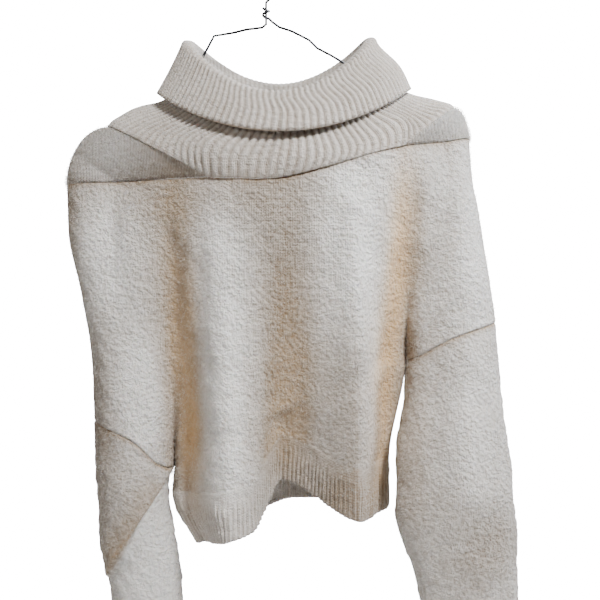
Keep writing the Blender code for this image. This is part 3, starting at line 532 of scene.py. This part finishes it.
def woolGroup():
    # Brushed wool: colour and normal from nap, pills, stitches and the painted light, shade and glow on the
    # mesh
    look = woolLook
    group = bpy.data.node_groups.new("woolNap", "ShaderNodeTree")

    def times(a, b, clamp=False):
        return mathNode(group, "MULTIPLY", a, b, clamp)

    def plus(a, b, clamp=False):
        return mathNode(group, "ADD", a, b, clamp)

    def minus(a, b):
        return mathNode(group, "SUBTRACT", a, b)

    for label, kind in (("Light", "Color"), ("Dark", "Color"), ("Warm", "Color"), ("Nap", "Float")):
        group.interface.new_socket(label, in_out="INPUT", socket_type="NodeSocket" + kind)
    for label, kind in (("Color", "Color"), ("Normal", "Vector")):
        group.interface.new_socket(label, in_out="OUTPUT", socket_type="NodeSocket" + kind)
    links = group.links
    start = group.nodes.new("NodeGroupInput")
    end = group.nodes.new("NodeGroupOutput")
    place = group.nodes.new("ShaderNodeTexCoord").outputs["Object"]
    nap, pills, patches, fibre = [noiseNode(group, place, *look[name])
                                  for name in ("nap", "pills", "patches", "fibre")]
    part = group.nodes.new("ShaderNodeSeparateXYZ")
    links.new(group.nodes.new("ShaderNodeTexCoord").outputs["UV"], part.inputs[0])
    mask = attributeNode(group, "knit")

    # Stitches: rows of loops, each on two legs that slant to the middle of its column
    column = mathNode(group, "FRACT", times(part.outputs[0], look["columns"]))
    slant = mathNode(group, "ABSOLUTE", minus(times(column, 2.0), 1.0))
    rise = minus(times(part.outputs[1], look["rows"]), times(slant, look["legSlant"]))
    loops = mathNode(group, "SINE", times(rise, 2 * math.pi))
    legs = mathNode(group, "SINE", times(slant, math.pi))
    stitch = times(times(plus(times(loops, look["loop"]), 1 - look["loop"]), legs), mask)

    # Height: nap, pills and fibre by the share of nap, then the stitches
    height = plus(times(nap, look["napHeight"]), times(pills, look["pillHeight"]))
    height = times(plus(height, times(fibre, look["fibreHeight"])), start.outputs["Nap"])
    height = plus(height, times(stitch, look["stitchHeight"]))
    bump = group.nodes.new("ShaderNodeBump")
    bump.inputs["Strength"].default_value = look["bump"]
    bump.inputs["Distance"].default_value = look["bumpDistance"]
    links.new(height, bump.inputs["Height"])

    # Shade: painted light on the tips of the pills and painted shade between them, random patches, painted
    # shade in the gaps of the stitches and in the grooves of the ribs, and the painted light and shade
    # carried on the mesh
    pillShading = times(minus(look["pillShadingMiddle"], pills), start.outputs["Nap"])
    shade = plus(times(pillShading, look["pillShading"]), times(minus(look["patchMiddle"], patches), look["patch"]))
    gap = times(minus(times(mask, look["gapLevel"]), stitch), look["gap"])
    shade = plus(shade, plus(gap, times(attributeNode(group, "groove"), look["groove"])))
    shade = plus(shade, times(attributeNode(group, "shade"), look["shade"]), clamp=True)
    # Painted glow of light through the cloth, carried on the mesh
    warm = times(attributeNode(group, "warm"), look["warm"], clamp=True)
    colour = start.outputs["Light"]
    for share, label in ((shade, "Dark"), (warm, "Warm")):
        mix = group.nodes.new("ShaderNodeMix")
        mix.data_type = "RGBA"
        links.new(share, mix.inputs["Factor"])
        links.new(colour, mix.inputs["A"])
        links.new(start.outputs[label], mix.inputs["B"])
        colour = mix.outputs["Result"]
    links.new(colour, end.inputs["Color"])
    links.new(bump.outputs[0], end.inputs["Normal"])
    return group


def plainMaterial(name, **values):
    material = bpy.data.materials.new(name)
    material.use_nodes = True
    shader = material.node_tree.nodes["Principled BSDF"]
    for label, value in values.items():
        shader.inputs[label.replace("_", " ")].default_value = value
    return material


woolNap = woolGroup()


def woolMaterial(name, light, dark, warm, nap):
    material = plainMaterial(name, Roughness=0.95, Sheen_Weight=0.22, Sheen_Roughness=0.5,
                             Specular_IOR_Level=0.15, Subsurface_Weight=0.12,
                             Subsurface_Radius=(1.0, 0.6, 0.3), Subsurface_Scale=0.004)
    tree = material.node_tree
    shader = tree.nodes["Principled BSDF"]
    node = tree.nodes.new("ShaderNodeGroup")
    node.node_tree = woolNap
    for label, value in (("Light", light), ("Dark", dark), ("Warm", warm), ("Nap", nap)):
        node.inputs[label].default_value = value
    tree.links.new(node.outputs["Color"], shader.inputs["Base Color"])
    tree.links.new(node.outputs["Normal"], shader.inputs["Normal"])
    return material


# Light is the cloth's lit colour, Dark the colour that painted shade mixes towards (the random patches too),
# glow the colour of the painted glow of light through the cloth
glow = (0.86, 0.55, 0.26, 1)
wool = woolMaterial("brushedWool", (0.93, 0.895, 0.845, 1), (0.27, 0.205, 0.145, 1), glow, nap=1.0)
ribWool = woolMaterial("ribWool", (0.92, 0.88, 0.825, 1), (0.28, 0.215, 0.155, 1), glow, nap=0.45)
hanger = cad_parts["hanger"]
hanger.data.materials.clear()
hanger.data.materials.append(plainMaterial("darkWire", Base_Color=(0.035, 0.035, 0.04, 1), Metallic=0.8,
                                           Roughness=0.38))
print("materials made")

# Front panel
upper = np.linspace(0.0, 1.0, panel["upperRows"])
lower = 1 + np.linspace(0.0, 1.0, panel["lowerRows"])[1:]
firstColumn = sum(frontCounts[:2]) * panel["columns"]
lastColumn = sum(frontCounts[:9]) * panel["columns"]


def panelGrids(folds, counts, side):
    # The panel down to the armholes, and what goes on below them from column first to column last
    top = foldGrid(folds, counts, upper, side)
    first, last = sum(counts[:2]) * panel["columns"], sum(counts[:9]) * panel["columns"]
    low = foldGrid(folds, counts, lower, side)[:, first:last + 1]
    top[:, [0, -1], 1] += side * seamGap / 2
    low[:, [0, -1], 1] += side * seamGap / 2
    return top, low, first, last


def dress(top, low, first, last, turn):
    # Adds slow unevenness and rolls the cloth in at its seams, fading to nothing on the outer edges
    column = np.arange(top.shape[1])
    ended = (column < first) | (column > last)
    reach = runOf(top, 0) / mm
    left = reach[-1] - reach
    dip = np.exp(-reach / seamRoll["reach"]) + np.where(ended, np.exp(-left / seamRoll["reach"]), 0.0)
    ridge = seamRoll["ridge"] * np.exp(-((left - seamRoll["ridgeAt"]) / seamRoll["ridgeWidth"]) ** 2) * ended
    push = faded(unevenness(top, panel["unevenness"]) + creaseOf(top, creases), reach, panel["foldFade"])
    push += faded(pileOf(top), reach, panel["pileFade"]) + ridge - seamRoll["dip"] * dip
    top = top + gridNormals(top, turn) * (push * edgeFade(top.shape[1]))[..., None]
    end = runOf(low, 0) / mm
    push = faded(unevenness(low, panel["unevenness"]) + creaseOf(low, creases), end, panel["foldFade"])
    push = push + pileOf(low) * ease((end[-1] - end) / panel["lowPileFade"])
    low = low + gridNormals(low, turn) * (push * edgeFade(low.shape[1]))[..., None]
    return top, low


def indexOf(grid, start=0):
    return start + np.arange(grid.shape[0] * grid.shape[1]).reshape(grid.shape[:2])


plainTop, plainLow, first, last = panelGrids(frontFolds, frontCounts, -1)
middleNormal = gridNormals(plainTop)[plainTop.shape[0] // 2, plainTop.shape[1] // 2]
frontTurn = 1.0 if middleNormal[1] < 0 else -1.0


def makeFront():
    top, low = dress(plainTop, plainLow, first, last, frontTurn)
    topIndex = indexOf(top)
    lowIndex = indexOf(low, topIndex.size)
    joined = np.concatenate([topIndex[-1:, first:last + 1], lowIndex])
    quads = np.concatenate([quadsOf(topIndex), quadsOf(joined)])
    points = np.concatenate([top.reshape(-1, 3), low.reshape(-1, 3)])
    flatUv = np.stack([points[:, 0] * mm, points[:, 2] * mm], axis=1)
    across = ((points[:, 0] - frontStitches["across"]) / frontStitches["halfWidth"]) ** 2
    down = ((points[:, 2] - frontStitches["height"]) / frontStitches["halfHeight"]) ** 2
    stitches = frontStitches["least"] + frontStitches["more"] * np.exp(-across - down)
    # Painted shade under the collar along the neck seam, added to the painted shade in the hollows of the
    # folds
    neckSeamShade = neckShade["most"] * np.exp(-(runOf(plainTop, 0) / mm) / neckShade["reach"])
    paintedShade = np.concatenate([(hollowOf(plainTop, -1) + neckSeamShade).ravel(), hollowOf(plainLow, -1).ravel()])
    return makeCloth("frontKnit", points, quads, flatUv, stitches, wool, paintedShade=paintedShade)


frontKnit = makeFront()
print("front made")

# Back panel with its shoulder strips
backTop, backLow, backFirst, backLast = panelGrids(backFolds, backCounts, 1)
for j, edge in ((0, plainTop[:, 0]), (-1, plainTop[:, -1])):
    backTop[:, j, 0] = np.interp(-backTop[:, j, 2], -edge[:, 2], edge[:, 0])
backLow[:, 0] = plainLow[:, 0] + (0, seamGap, 0)
backLow[:, -1] = plainLow[:, -1] + (0, seamGap, 0)
seamLine = plainTop[0] + (0, 0, seamGap)
backMiddle = sum(backCounts[:6]) * panel["columns"]


def strapGrid(side):
    # From the forward seam over the crest of the shoulder and down to the back panel
    if side == 0:
        seam, target, edge = seamLine[:firstColumn + 1], backTop[0, :backMiddle + 1], plainTop[:, 0]
    else:
        seam, target, edge = seamLine[lastColumn:][::-1], backTop[0, backMiddle:][::-1], plainTop[:, -1]
    n = len(target)
    share = np.linspace(0, 1, n)
    front = resample(seam, share, closed=False)
    pole = front[0].copy()
    pole[1] = seamGap / 2
    front[0] = pole
    nx, nz = neckAtShoulder[side]
    turn = share * math.pi / 2
    crest = np.stack([pole[0] + (nx - pole[0]) * (1 - np.cos(turn)), np.full(n, seamGap / 2),
                      pole[2] + (nz - pole[2]) * np.sin(turn)], axis=1)
    over = np.linspace(1, 0, strap["frontRows"])[:, None] * math.pi / 2
    down = np.linspace(0, 1, strap["backRows"])[1:-1, None] * math.pi / 2
    mixes = [np.stack([1 - np.cos(a), np.sin(a), 1 - np.cos(a)], axis=-1) for a in (over, down)]
    rows = np.concatenate([crest + (front - crest) * mixes[0], crest + (target - crest) * mixes[1]])
    back = rows[strap["frontRows"]:, 0]
    back[:, 0] = np.interp(-back[:, 2], -edge[:, 2], edge[:, 0])
    return rows


leftStrap, rightStrap = strapGrid(0), strapGrid(1)


def makeBack():
    top, low = dress(backTop, backLow, backFirst, backLast, -frontTurn)
    top[0] = backTop[0]
    grids = [leftStrap, rightStrap, top, low]
    starts = np.cumsum([0] + [g.shape[0] * g.shape[1] for g in grids])
    onLeft, onRight, onTop, onLow = [indexOf(g, start) for g, start in zip(grids, starts)]
    quads = np.concatenate([
        quadsOf(np.concatenate([onLeft, onTop[:1, :backMiddle + 1]])),
        quadsOf(np.concatenate([onRight[:, ::-1], onTop[:1, backMiddle:]])),
        quadsOf(onTop), quadsOf(np.concatenate([onTop[-1:, backFirst:backLast + 1], onLow]))])
    points = np.concatenate([g.reshape(-1, 3) for g in grids])
    down = np.concatenate([runOf(leftStrap, 0).ravel(), runOf(rightStrap, 0).ravel(),
                           -top[..., 2].ravel() * mm, -low[..., 2].ravel() * mm])
    flatUv = np.stack([points[:, 0] * mm, down], axis=1)
    inStraps = onLeft.size + onRight.size
    stitches = np.full(len(points), backStitches["cloth"])
    row = np.concatenate([np.repeat(np.arange(len(g)), g.shape[1]) for g in grids[:2]])
    loss = backStitches["loss"] * ease((row - backStitches["lossStart"]) / backStitches["lossRows"])
    stitches[:inStraps] = backStitches["strap"] - loss
    # Painted shade in the hollows of the back's folds; none on the straps
    paintedShade = np.concatenate([np.zeros(inStraps), hollowOf(backTop, 1).ravel(), hollowOf(backLow, 1).ravel()])
    return makeCloth("backKnit", points, quads, flatUv, stitches, wool, turned=True, paintedShade=paintedShade)


backKnit = makeBack()
print("back made")


# Sleeves and cuffs
def armLine(side):
    # The line of an armhole: down the front from its outer end to the underarm, and back up behind
    inward = 1.0 if side == 0 else -1.0
    frontRow = plainTop[-1, :first + 1] if side == 0 else plainTop[-1, last:][::-1]
    backRow = backTop[-1, :backFirst + 1] if side == 0 else backTop[-1, backLast:][::-1]
    outer = frontRow[0] * (1, 0, 1)
    under = frontRow[-1] * (1, 0, 1) - (inward * sleeve["underarmTuck"], 0, sleeve["underarmDrop"])
    half = sleeve["around"] // 2
    share = np.arange(half) / half
    a = resample(np.concatenate([[outer], frontRow[1:-2], [under]]), share, closed=False)
    b = resample(np.concatenate([[under], backRow[1:-2][::-1], [outer]]), share, closed=False)
    return np.concatenate([a, b]) - (0, 0, sleeve["drop"])


def stepOf(grid, turn, run):
    # How far the left sleeve's step fold sinks its front, and the painted shade and light that it adds
    s = stepFold
    z = grid[..., 2]
    front = np.clip(np.sin(turn), 0.0, 1.0) ** 0.5
    below = s["height"] + (grid[..., 0] - s["across"]) * s["slope"] - z
    step = ease(below / s["width"]) * ease((z - s["end"]) / s["endFade"])
    edge = ease((z - s["shadeEnd"]) / s["endFade"])
    shown = edge * front * ease((run - s["seamClear"]) / s["seamFade"])
    # Painted shade above the fold line, painted light on the step below it, painted shadow line along it
    shade = s["shade"] * ease((below + s["shadeReach"]) / s["shadeReach"]) * (below < 0) - s["light"] * step
    shade = shade + s["line"] * np.exp(-(below / s["shadowLineWidth"]) ** 2)
    lip = s["lip"] * edge * np.exp(-((below + s["lipAbove"]) / s["lipWidth"]) ** 2)
    return (s["depth"] * step - lip) * front, shown * shade


def makeSleeve(side, name, loops):
    line = armLine(side)
    around = sleeve["around"]
    turn = np.arange(around) / around * 2 * math.pi
    sign = -1.0 if side == 0 else 1.0
    stack = [line]
    for z, left, right, middle, half in loops:
        x = (left + right) / 2 + sign * (right - left) / 2 * np.cos(turn)
        stack.append(np.stack([x, middle - half * np.sin(turn), np.full(around, z)], axis=1))
    stack = np.moveaxis(np.array(stack), 0, -1)
    places = np.array([0.0] + [line[:, 2].mean() - loop[0] for loop in loops])
    rows = np.linspace(0.0, 1.0, sleeve["rows"]) ** sleeve["rowPower"] * places[-1]
    grid = curveAt(np.broadcast_to(places, stack.shape), stack, stepsOf(places, rows), rows)
    grid = np.moveaxis(grid, -1, 0)
    run = runOf(grid, 0) / mm
    n = tubeNormals(grid)
    n = n * np.sign((n * (grid - grid.mean(axis=1, keepdims=True))).sum(axis=-1).mean())
    push = unevenness(grid, sleeve["unevenness"]) + creaseOf(grid, sleeveCreases)
    push = faded(push, run, panel["foldFade"])
    push += faded(pileOf(grid), run, panel["pileFade"])
    dip = np.exp(-run / seamRoll["reach"]) + np.exp(-(run[-1] - run) / seamRoll["reach"])
    push -= seamRoll["dip"] * dip
    # Painted shadow below the armhole seam, then the step fold's painted shade and light
    sleeveShade = sleeve["seamShade"] * np.exp(-run / sleeve["seamShadeReach"])
    if side == 0:
        sink, shade = stepOf(grid, turn, run)
        push -= sink
        sleeveShade += shade
    grid = grid + n * push[..., None]
    quads, flatUv = tubeOf(grid, sleeve["flatWidth"], run * mm)
    made = makeCloth("sleeve" + name, grid.reshape(-1, 3), quads, flatUv, sleeve["knit"], wool,
                     turned=side == 1, paintedShade=sleeveShade.ravel())
    return made, grid[-1]


def makeCuff(side, name, ring):
    wave, share = ribWave(cuff)
    ring = resample(ring, share)
    middle = ring.mean(axis=0)
    down = np.linspace(0, 1, cuff["rows"])[:, None]
    size = 1.0 - cuff["narrowing"] * ease(down / cuff["narrowingEnd"])[..., None]
    fall = seamGap + cuff["length"] * down[..., None]
    grid = middle + (ring - middle) * size - np.array([0, 0, 1.0]) * fall
    rising = ease(down / cuff["riseEnd"])
    bulge = rising * cuff["rise"] * wave - cuff["dip"] * np.exp(-down * cuff["length"] / cuff["dipReach"])
    grid = grid + unit((ring - middle) * (1, 1, 0)) * bulge[..., None]
    quads, flatUv = tubeOf(grid, cuff["flatWidth"], runOf(grid, 0))
    # Painted shade in the grooves between the ribs
    groove = ((1 - wave) * rising).ravel()
    return makeCloth("cuff" + name, grid.reshape(-1, 3), quads, flatUv, cuff["knit"], ribWool, groove,
                     turned=side == 1)


sleeves, cuffs = [], []
for side, name, loops in ((0, "Left", sleeveLeftLoops), (1, "Right", sleeveRightLoops)):
    made, ring = makeSleeve(side, name, loops)
    sleeves.append(made)
    cuffs.append(makeCuff(side, name, ring))
print("sleeves made")


# Hem rib
def makeHem():
    rows = np.linspace(band["start"], 3, band["rows"])
    front = foldGrid(frontFolds, frontCounts, rows, -1)[:, first:last + 1]
    back = foldGrid(backFolds, backCounts, rows, 1)[:, backFirst:backLast + 1]
    left, right = [a * (1, 0.5, 1) + b * (0, 0.5, 0)
                   for a, b in ((front[:, :1], back[:, :1]), (front[:, -1:], back[:, -1:]))]
    loop = np.concatenate([left, front[:, 1:-1], right, back[:, 1:-1][:, ::-1], left], axis=1)
    run = runOf(loop, 1)
    meanRun = (run / run[:, -1:]).mean(axis=0)
    wave, share = ribWave(band)
    slot = stepsOf(meanRun, share)
    mix = ((share - meanRun[slot]) / (meanRun[slot + 1] - meanRun[slot]))[:, None]
    grid = loop[:, slot] * (1 - mix) + loop[:, slot + 1] * mix
    n = tubeNormals(grid)
    n = n * np.sign(-n[:, len(share) // 4, 1].mean())
    down = np.linspace(0, 1, band["rows"])[:, None]
    rising = ease(down / band["riseEnd"])
    soft = (unevenness(grid, band["unevenness"]) + pileOf(grid)) * ease(down / band["pileStart"])
    push = rising * band["rise"] * wave + soft
    grid = grid + n * (push + band["cover"])[..., None]
    quads, flatUv = tubeOf(grid, band["flatWidth"], runOf(grid, 0))
    # Painted shade in the grooves between the ribs
    groove = ((1 - wave) * rising).ravel() * band["groove"]
    return makeCloth("hemKnit", grid.reshape(-1, 3), quads, flatUv, band["knit"], ribWool, groove)


hemKnit = makeHem()
print("hem made")


# Collar
def collarPoints(row, t):
    left, right, front, back, zl, zr, zf, zb = row[1:]
    depth = np.where(np.cos(t) > 0, front, back)
    z = (zf + zb + zr + zl) / 4 + (zr - zl) / 2 * np.sin(t) + (zf - zb) / 2 * np.cos(t)
    z = z + (zf + zb - zr - zl) / 4 * np.cos(2 * t)
    x = (left + right) / 2 + (right - left) / 2 * np.sin(t)
    return np.stack([x, -depth * np.cos(t), z], axis=1)


def evenAngles(row, share):
    # The angles at which even steps along a loop lie
    t = np.linspace(0, 2 * math.pi, collar["angleSteps"])
    run = np.concatenate([[0.0], np.cumsum(np.linalg.norm(np.diff(collarPoints(row, t), axis=0), axis=1))])
    return np.interp(share * run[-1], run, t)


def neckRing(share):
    # Even points along the neck seam, from the middle of the front
    front = plainTop[0, firstColumn + 1:lastColumn]
    right = np.concatenate([rightStrap[:, -1], backTop[:1, backMiddle]])
    neck = np.concatenate([front, right, leftStrap[:, -1][::-1]])
    return resample(np.roll(neck, -(len(front) // 2), axis=0), share)


def collarKeys(share):
    # The loops that the collar passes through: seam, stand, the round of the fold, turned-down edge
    rowOf = {row[0]: row for row in collarLoops}
    ring = neckRing(share)
    left, right, front = rowOf["stand_low"][1:4]
    across = (ring[:, 0] - (left + right) / 2) / ((right - left) / 2)
    angle = np.unwrap(np.arctan2(across, -ring[:, 1] / front))
    half = len(share) // 2
    angle += 2 * math.pi * np.round((share[half] * 2 * math.pi - angle[half]) / (2 * math.pi))
    toFold = evenAngles(rowOf["fold"], share) - angle
    loops = {name: collarPoints(rowOf[name], angle + toFold * part) for name, part in collarBlend.items()}
    fold = loops["fold"]
    out = unit((np.roll(fold, -1, axis=0) - np.roll(fold, 1, axis=0)) * (1, 1, 0))
    out = np.stack([out[:, 1], -out[:, 0], out[:, 2] * 0], axis=1)
    up = np.array([0.0, 0.0, 1.0])
    bend = [fold + collar["foldRadius"] * (-math.cos(a) * out + math.sin(a) * up)
            for a in np.linspace(0, math.pi, collar["foldSteps"])]
    seam = ring + unit(loops["stand_low"] - ring) * collar["seamLift"]
    stand = [loops["stand_low"], loops["stand_mid"]]
    return np.array([seam] + stand + bend + [loops["turn_mid"], loops["edge"]])


def makeCollar():
    wave, share = ribWave(collar)
    keys = collarKeys(share)
    places = np.concatenate([[0.0], np.cumsum(np.linalg.norm(np.diff(keys, axis=0), axis=-1).mean(axis=1))])
    rows = np.concatenate([places[k] + (places[k + 1] - places[k]) * np.arange(m) / m
                           for k, m in enumerate(collarRows)] + [places[-1:]])
    # A curve through the loops whose slope at each is that of its two neighbours
    seg = stepsOf(places, rows)
    stack = np.moveaxis(keys, 0, -1)
    h = places[seg + 1] - places[seg]
    grid = cubic(stack, np.gradient(stack, places, axis=-1), seg, h, (rows - places[seg]) / h)
    grid = np.moveaxis(grid, -1, 0)
    n = tubeNormals(grid)
    n = n * np.sign(-n[2, 0, 1])
    turned = (rows - places[3]) / (places[7] - places[3])  # 0 before the fold, 1 past it
    swell = collar["wave"] * lumps(grid, collar["waveCell"]) * ease(rows / collar["waveFade"])[:, None]
    grid = grid + n * (swell * np.where(turned > 0.5, -1.0, 1.0)[:, None])[..., None]
    outShare = ease(rows / collar["riseReach"]) * (1 - ease(turned / collar["outEnd"]))
    inShare = ease((turned - collar["inStart"]) / collar["inReach"])
    outer = grid + n * (wall / 2 + collar["rise"] * wave * outShare[:, None])[..., None]
    inner = grid - n * (wall / 2 + collar["rise"] * wave * inShare[:, None])[..., None]
    rim = len(rows)
    index = np.arange(2 * rim * len(share)).reshape(2 * rim, -1)
    order = np.concatenate([index[:rim], index[rim:][::-1], index[:1]])
    points = np.concatenate([outer.reshape(-1, 3), inner.reshape(-1, 3)])
    down = runOf(grid, 0).ravel()
    flatUv = np.stack([np.tile(share * collar["flatWidth"], 2 * rim), np.tile(down, 2)], axis=1)
    # The collar's grooves between the ribs take painted shade
    made = makeCloth("collarKnit", points, quadsOf(order, True), flatUv, collar["knit"], ribWool,
                     np.tile(1 - wave, 2 * rim))
    made.modifiers.clear()  # both of its faces are made here
    return made


collarKnit = makeCollar()
print("collar made")

# Fuzz: short fine fibres standing off the cloth
rng = np.random.default_rng(fuzz["seed"])


def fibresOn(piece, share):
    mesh = piece.data
    count = len(mesh.vertices)
    place = np.zeros(count * 3)
    normal = np.zeros(count * 3)
    mesh.vertices.foreach_get("co", place)
    mesh.vertex_normals.foreach_get("vector", normal)
    place, normal = place.reshape(-1, 3), normal.reshape(-1, 3)
    made = int(areaOf(piece) * fuzz["perSquareMetre"] * share)
    pick = rng.integers(0, count, made)
    root = place[pick] + rng.normal(0, fuzz["spread"], (made, 3))
    away = unit(normal[pick] + rng.normal(0, fuzz["lean"], (made, 3)) * fuzz["leanShare"])
    rise = (away * normal[pick]).sum(axis=1, keepdims=True)
    away = unit(away + normal[pick] * np.maximum(fuzz["leastRise"] - rise, 0))
    side = unit(np.cross(away, rng.normal(0, 1, (made, 3))))
    over = np.cross(away, side)
    length = (fuzz["length"] * mm * rng.uniform(fuzz["shortest"], 1.0, made))[:, None]
    half = fuzz["width"] * mm / 2
    foot = [root + half * (math.cos(a) * side + math.sin(a) * over) for a in fuzz["footAngles"]]
    points = np.stack(foot + [root + away * length], axis=1).reshape(-1, 3)
    base = np.arange(made)[:, None, None] * 4
    return points, (base + np.array([[0, 1, 3], [1, 2, 3], [2, 0, 3], [0, 2, 1]])).reshape(-1, 3)


def makeFuzz(name, sources, material, share=1.0):
    parts = [fibresOn(piece, share) for piece in sources]
    starts = np.cumsum([0] + [len(part[0]) for part in parts[:-1]])
    points = np.concatenate([part[0] for part in parts])
    faces = np.concatenate([part[1] + start for part, start in zip(parts, starts)])
    return pieceOf(bareMesh(name, points, faces), material)


fibre = plainMaterial("woolFibre", Base_Color=(0.88, 0.83, 0.75, 1), Roughness=0.9, Sheen_Weight=0.3,
                      Specular_IOR_Level=0.1)
cloth = (
    # piece, node, slot, flat width and length, and the cut's flat area, in metres
    (frontKnit, "front_panel", "wool_knit", 0.56, 0.36, 0.148),
    (backKnit, "back_panel", "wool_knit", 0.56, 0.46, 0.175),
    (collarKnit, "collar", "rib_knit", 0.62, 0.187, 0.116),
    (sleeves[0], "sleeve_left", "wool_knit", 0.235, 0.32, 0.0715),
    (sleeves[1], "sleeve_right", "wool_knit", 0.275, 0.38, 0.1005),
    (cuffs[0], "cuff_left", "rib_knit", 0.20, 0.052, 0.0104),
    (cuffs[1], "cuff_right", "rib_knit", 0.23, 0.052, 0.01196),
    (hemKnit, "hem_rib", "rib_knit", 0.79, 0.045, 0.0355),
)
fuzzPieces = (
    makeFuzz("fuzzPanels", [frontKnit, backKnit], fibre),
    makeFuzz("fuzzSleeves", sleeves, fibre),
    makeFuzz("fuzzRib", [collarKnit, hemKnit] + cuffs, fibre, fuzz["ribShare"]),
)
for piece in fuzzPieces:
    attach(piece, "root")
for piece, node, slotName, width, length, cut in cloth:
    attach(piece, "root")
    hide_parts(node)

# Floor, camera and light, in metres and watts
floorRadius = 0.95
floorHeight = -1.02
bpy.ops.mesh.primitive_circle_add(vertices=96, radius=floorRadius, fill_type="NGON",
                                  location=(0, 0, floorHeight))
floor = bpy.context.object
floor.name = "floor"
floor.data.materials.append(plainMaterial("plainFloor", Base_Color=(0.86, 0.85, 0.84, 1), Roughness=0.9))

camera = bpy.data.objects.new("camera", bpy.data.cameras.new("camera"))
bpy.context.scene.collection.objects.link(camera)
camera.location = (0.036, -1.0, -0.3583)
camera.rotation_euler = (math.pi / 2, 0, 0)
camera.data.lens = 56.6
camera.data.sensor_width = 36
bpy.context.scene.camera = camera

lights = (
    # name, place, aim, width, watts, colour
    ("key", (0.80, -1.25, 0.85), (0.0, 0.0, -0.35), 0.25, 70.0, (0.97, 0.98, 1.0)),
    ("left", (-1.20, -1.05, 0.25), (-0.05, 0.0, -0.40), 0.30, 9.0, (1.0, 0.98, 0.96)),
    ("side", (1.30, -0.15, 0.45), (0.15, 0.0, -0.35), 0.4, 26.0, (0.84, 0.91, 1.0)),
    ("back", (0.35, 0.9, 0.85), (0.05, 0.0, -0.2), 0.5, 26.0, (0.84, 0.91, 1.0)),
)
for name, place, aim, width, watts, colour in lights:
    lamp = bpy.data.lights.new(name, "AREA")
    lamp.size = width
    lamp.energy = watts
    lamp.color = colour
    holder = bpy.data.objects.new(name, lamp)
    bpy.context.scene.collection.objects.link(holder)
    holder.location = place
    toward = np.array(aim) - np.array(place)
    holder.rotation_euler = (math.acos(-toward[2] / np.linalg.norm(toward)), 0,
                             math.atan2(toward[1], toward[0]) - math.pi / 2)
world = bpy.data.worlds.new("room")
bpy.context.scene.world = world
world.use_nodes = True
nodes, links = world.node_tree.nodes, world.node_tree.links
ambient = nodes["Background"]
ambient.inputs["Color"].default_value = (1.0, 0.80, 0.58, 1)
ambient.inputs["Strength"].default_value = 0.085
backdrop = nodes.new("ShaderNodeBackground")  # white, where the camera sees past the sweater
backdrop.inputs["Color"].default_value = (1, 1, 1, 1)
backdrop.inputs["Strength"].default_value = 22.0
seen = nodes.new("ShaderNodeLightPath").outputs["Is Camera Ray"]
choose = nodes.new("ShaderNodeMixShader")
for i, value in enumerate((seen, ambient.outputs[0], backdrop.outputs[0])):
    links.new(value, choose.inputs[i])
links.new(choose.outputs[0], nodes["World Output"].inputs["Surface"])
print("stage set")
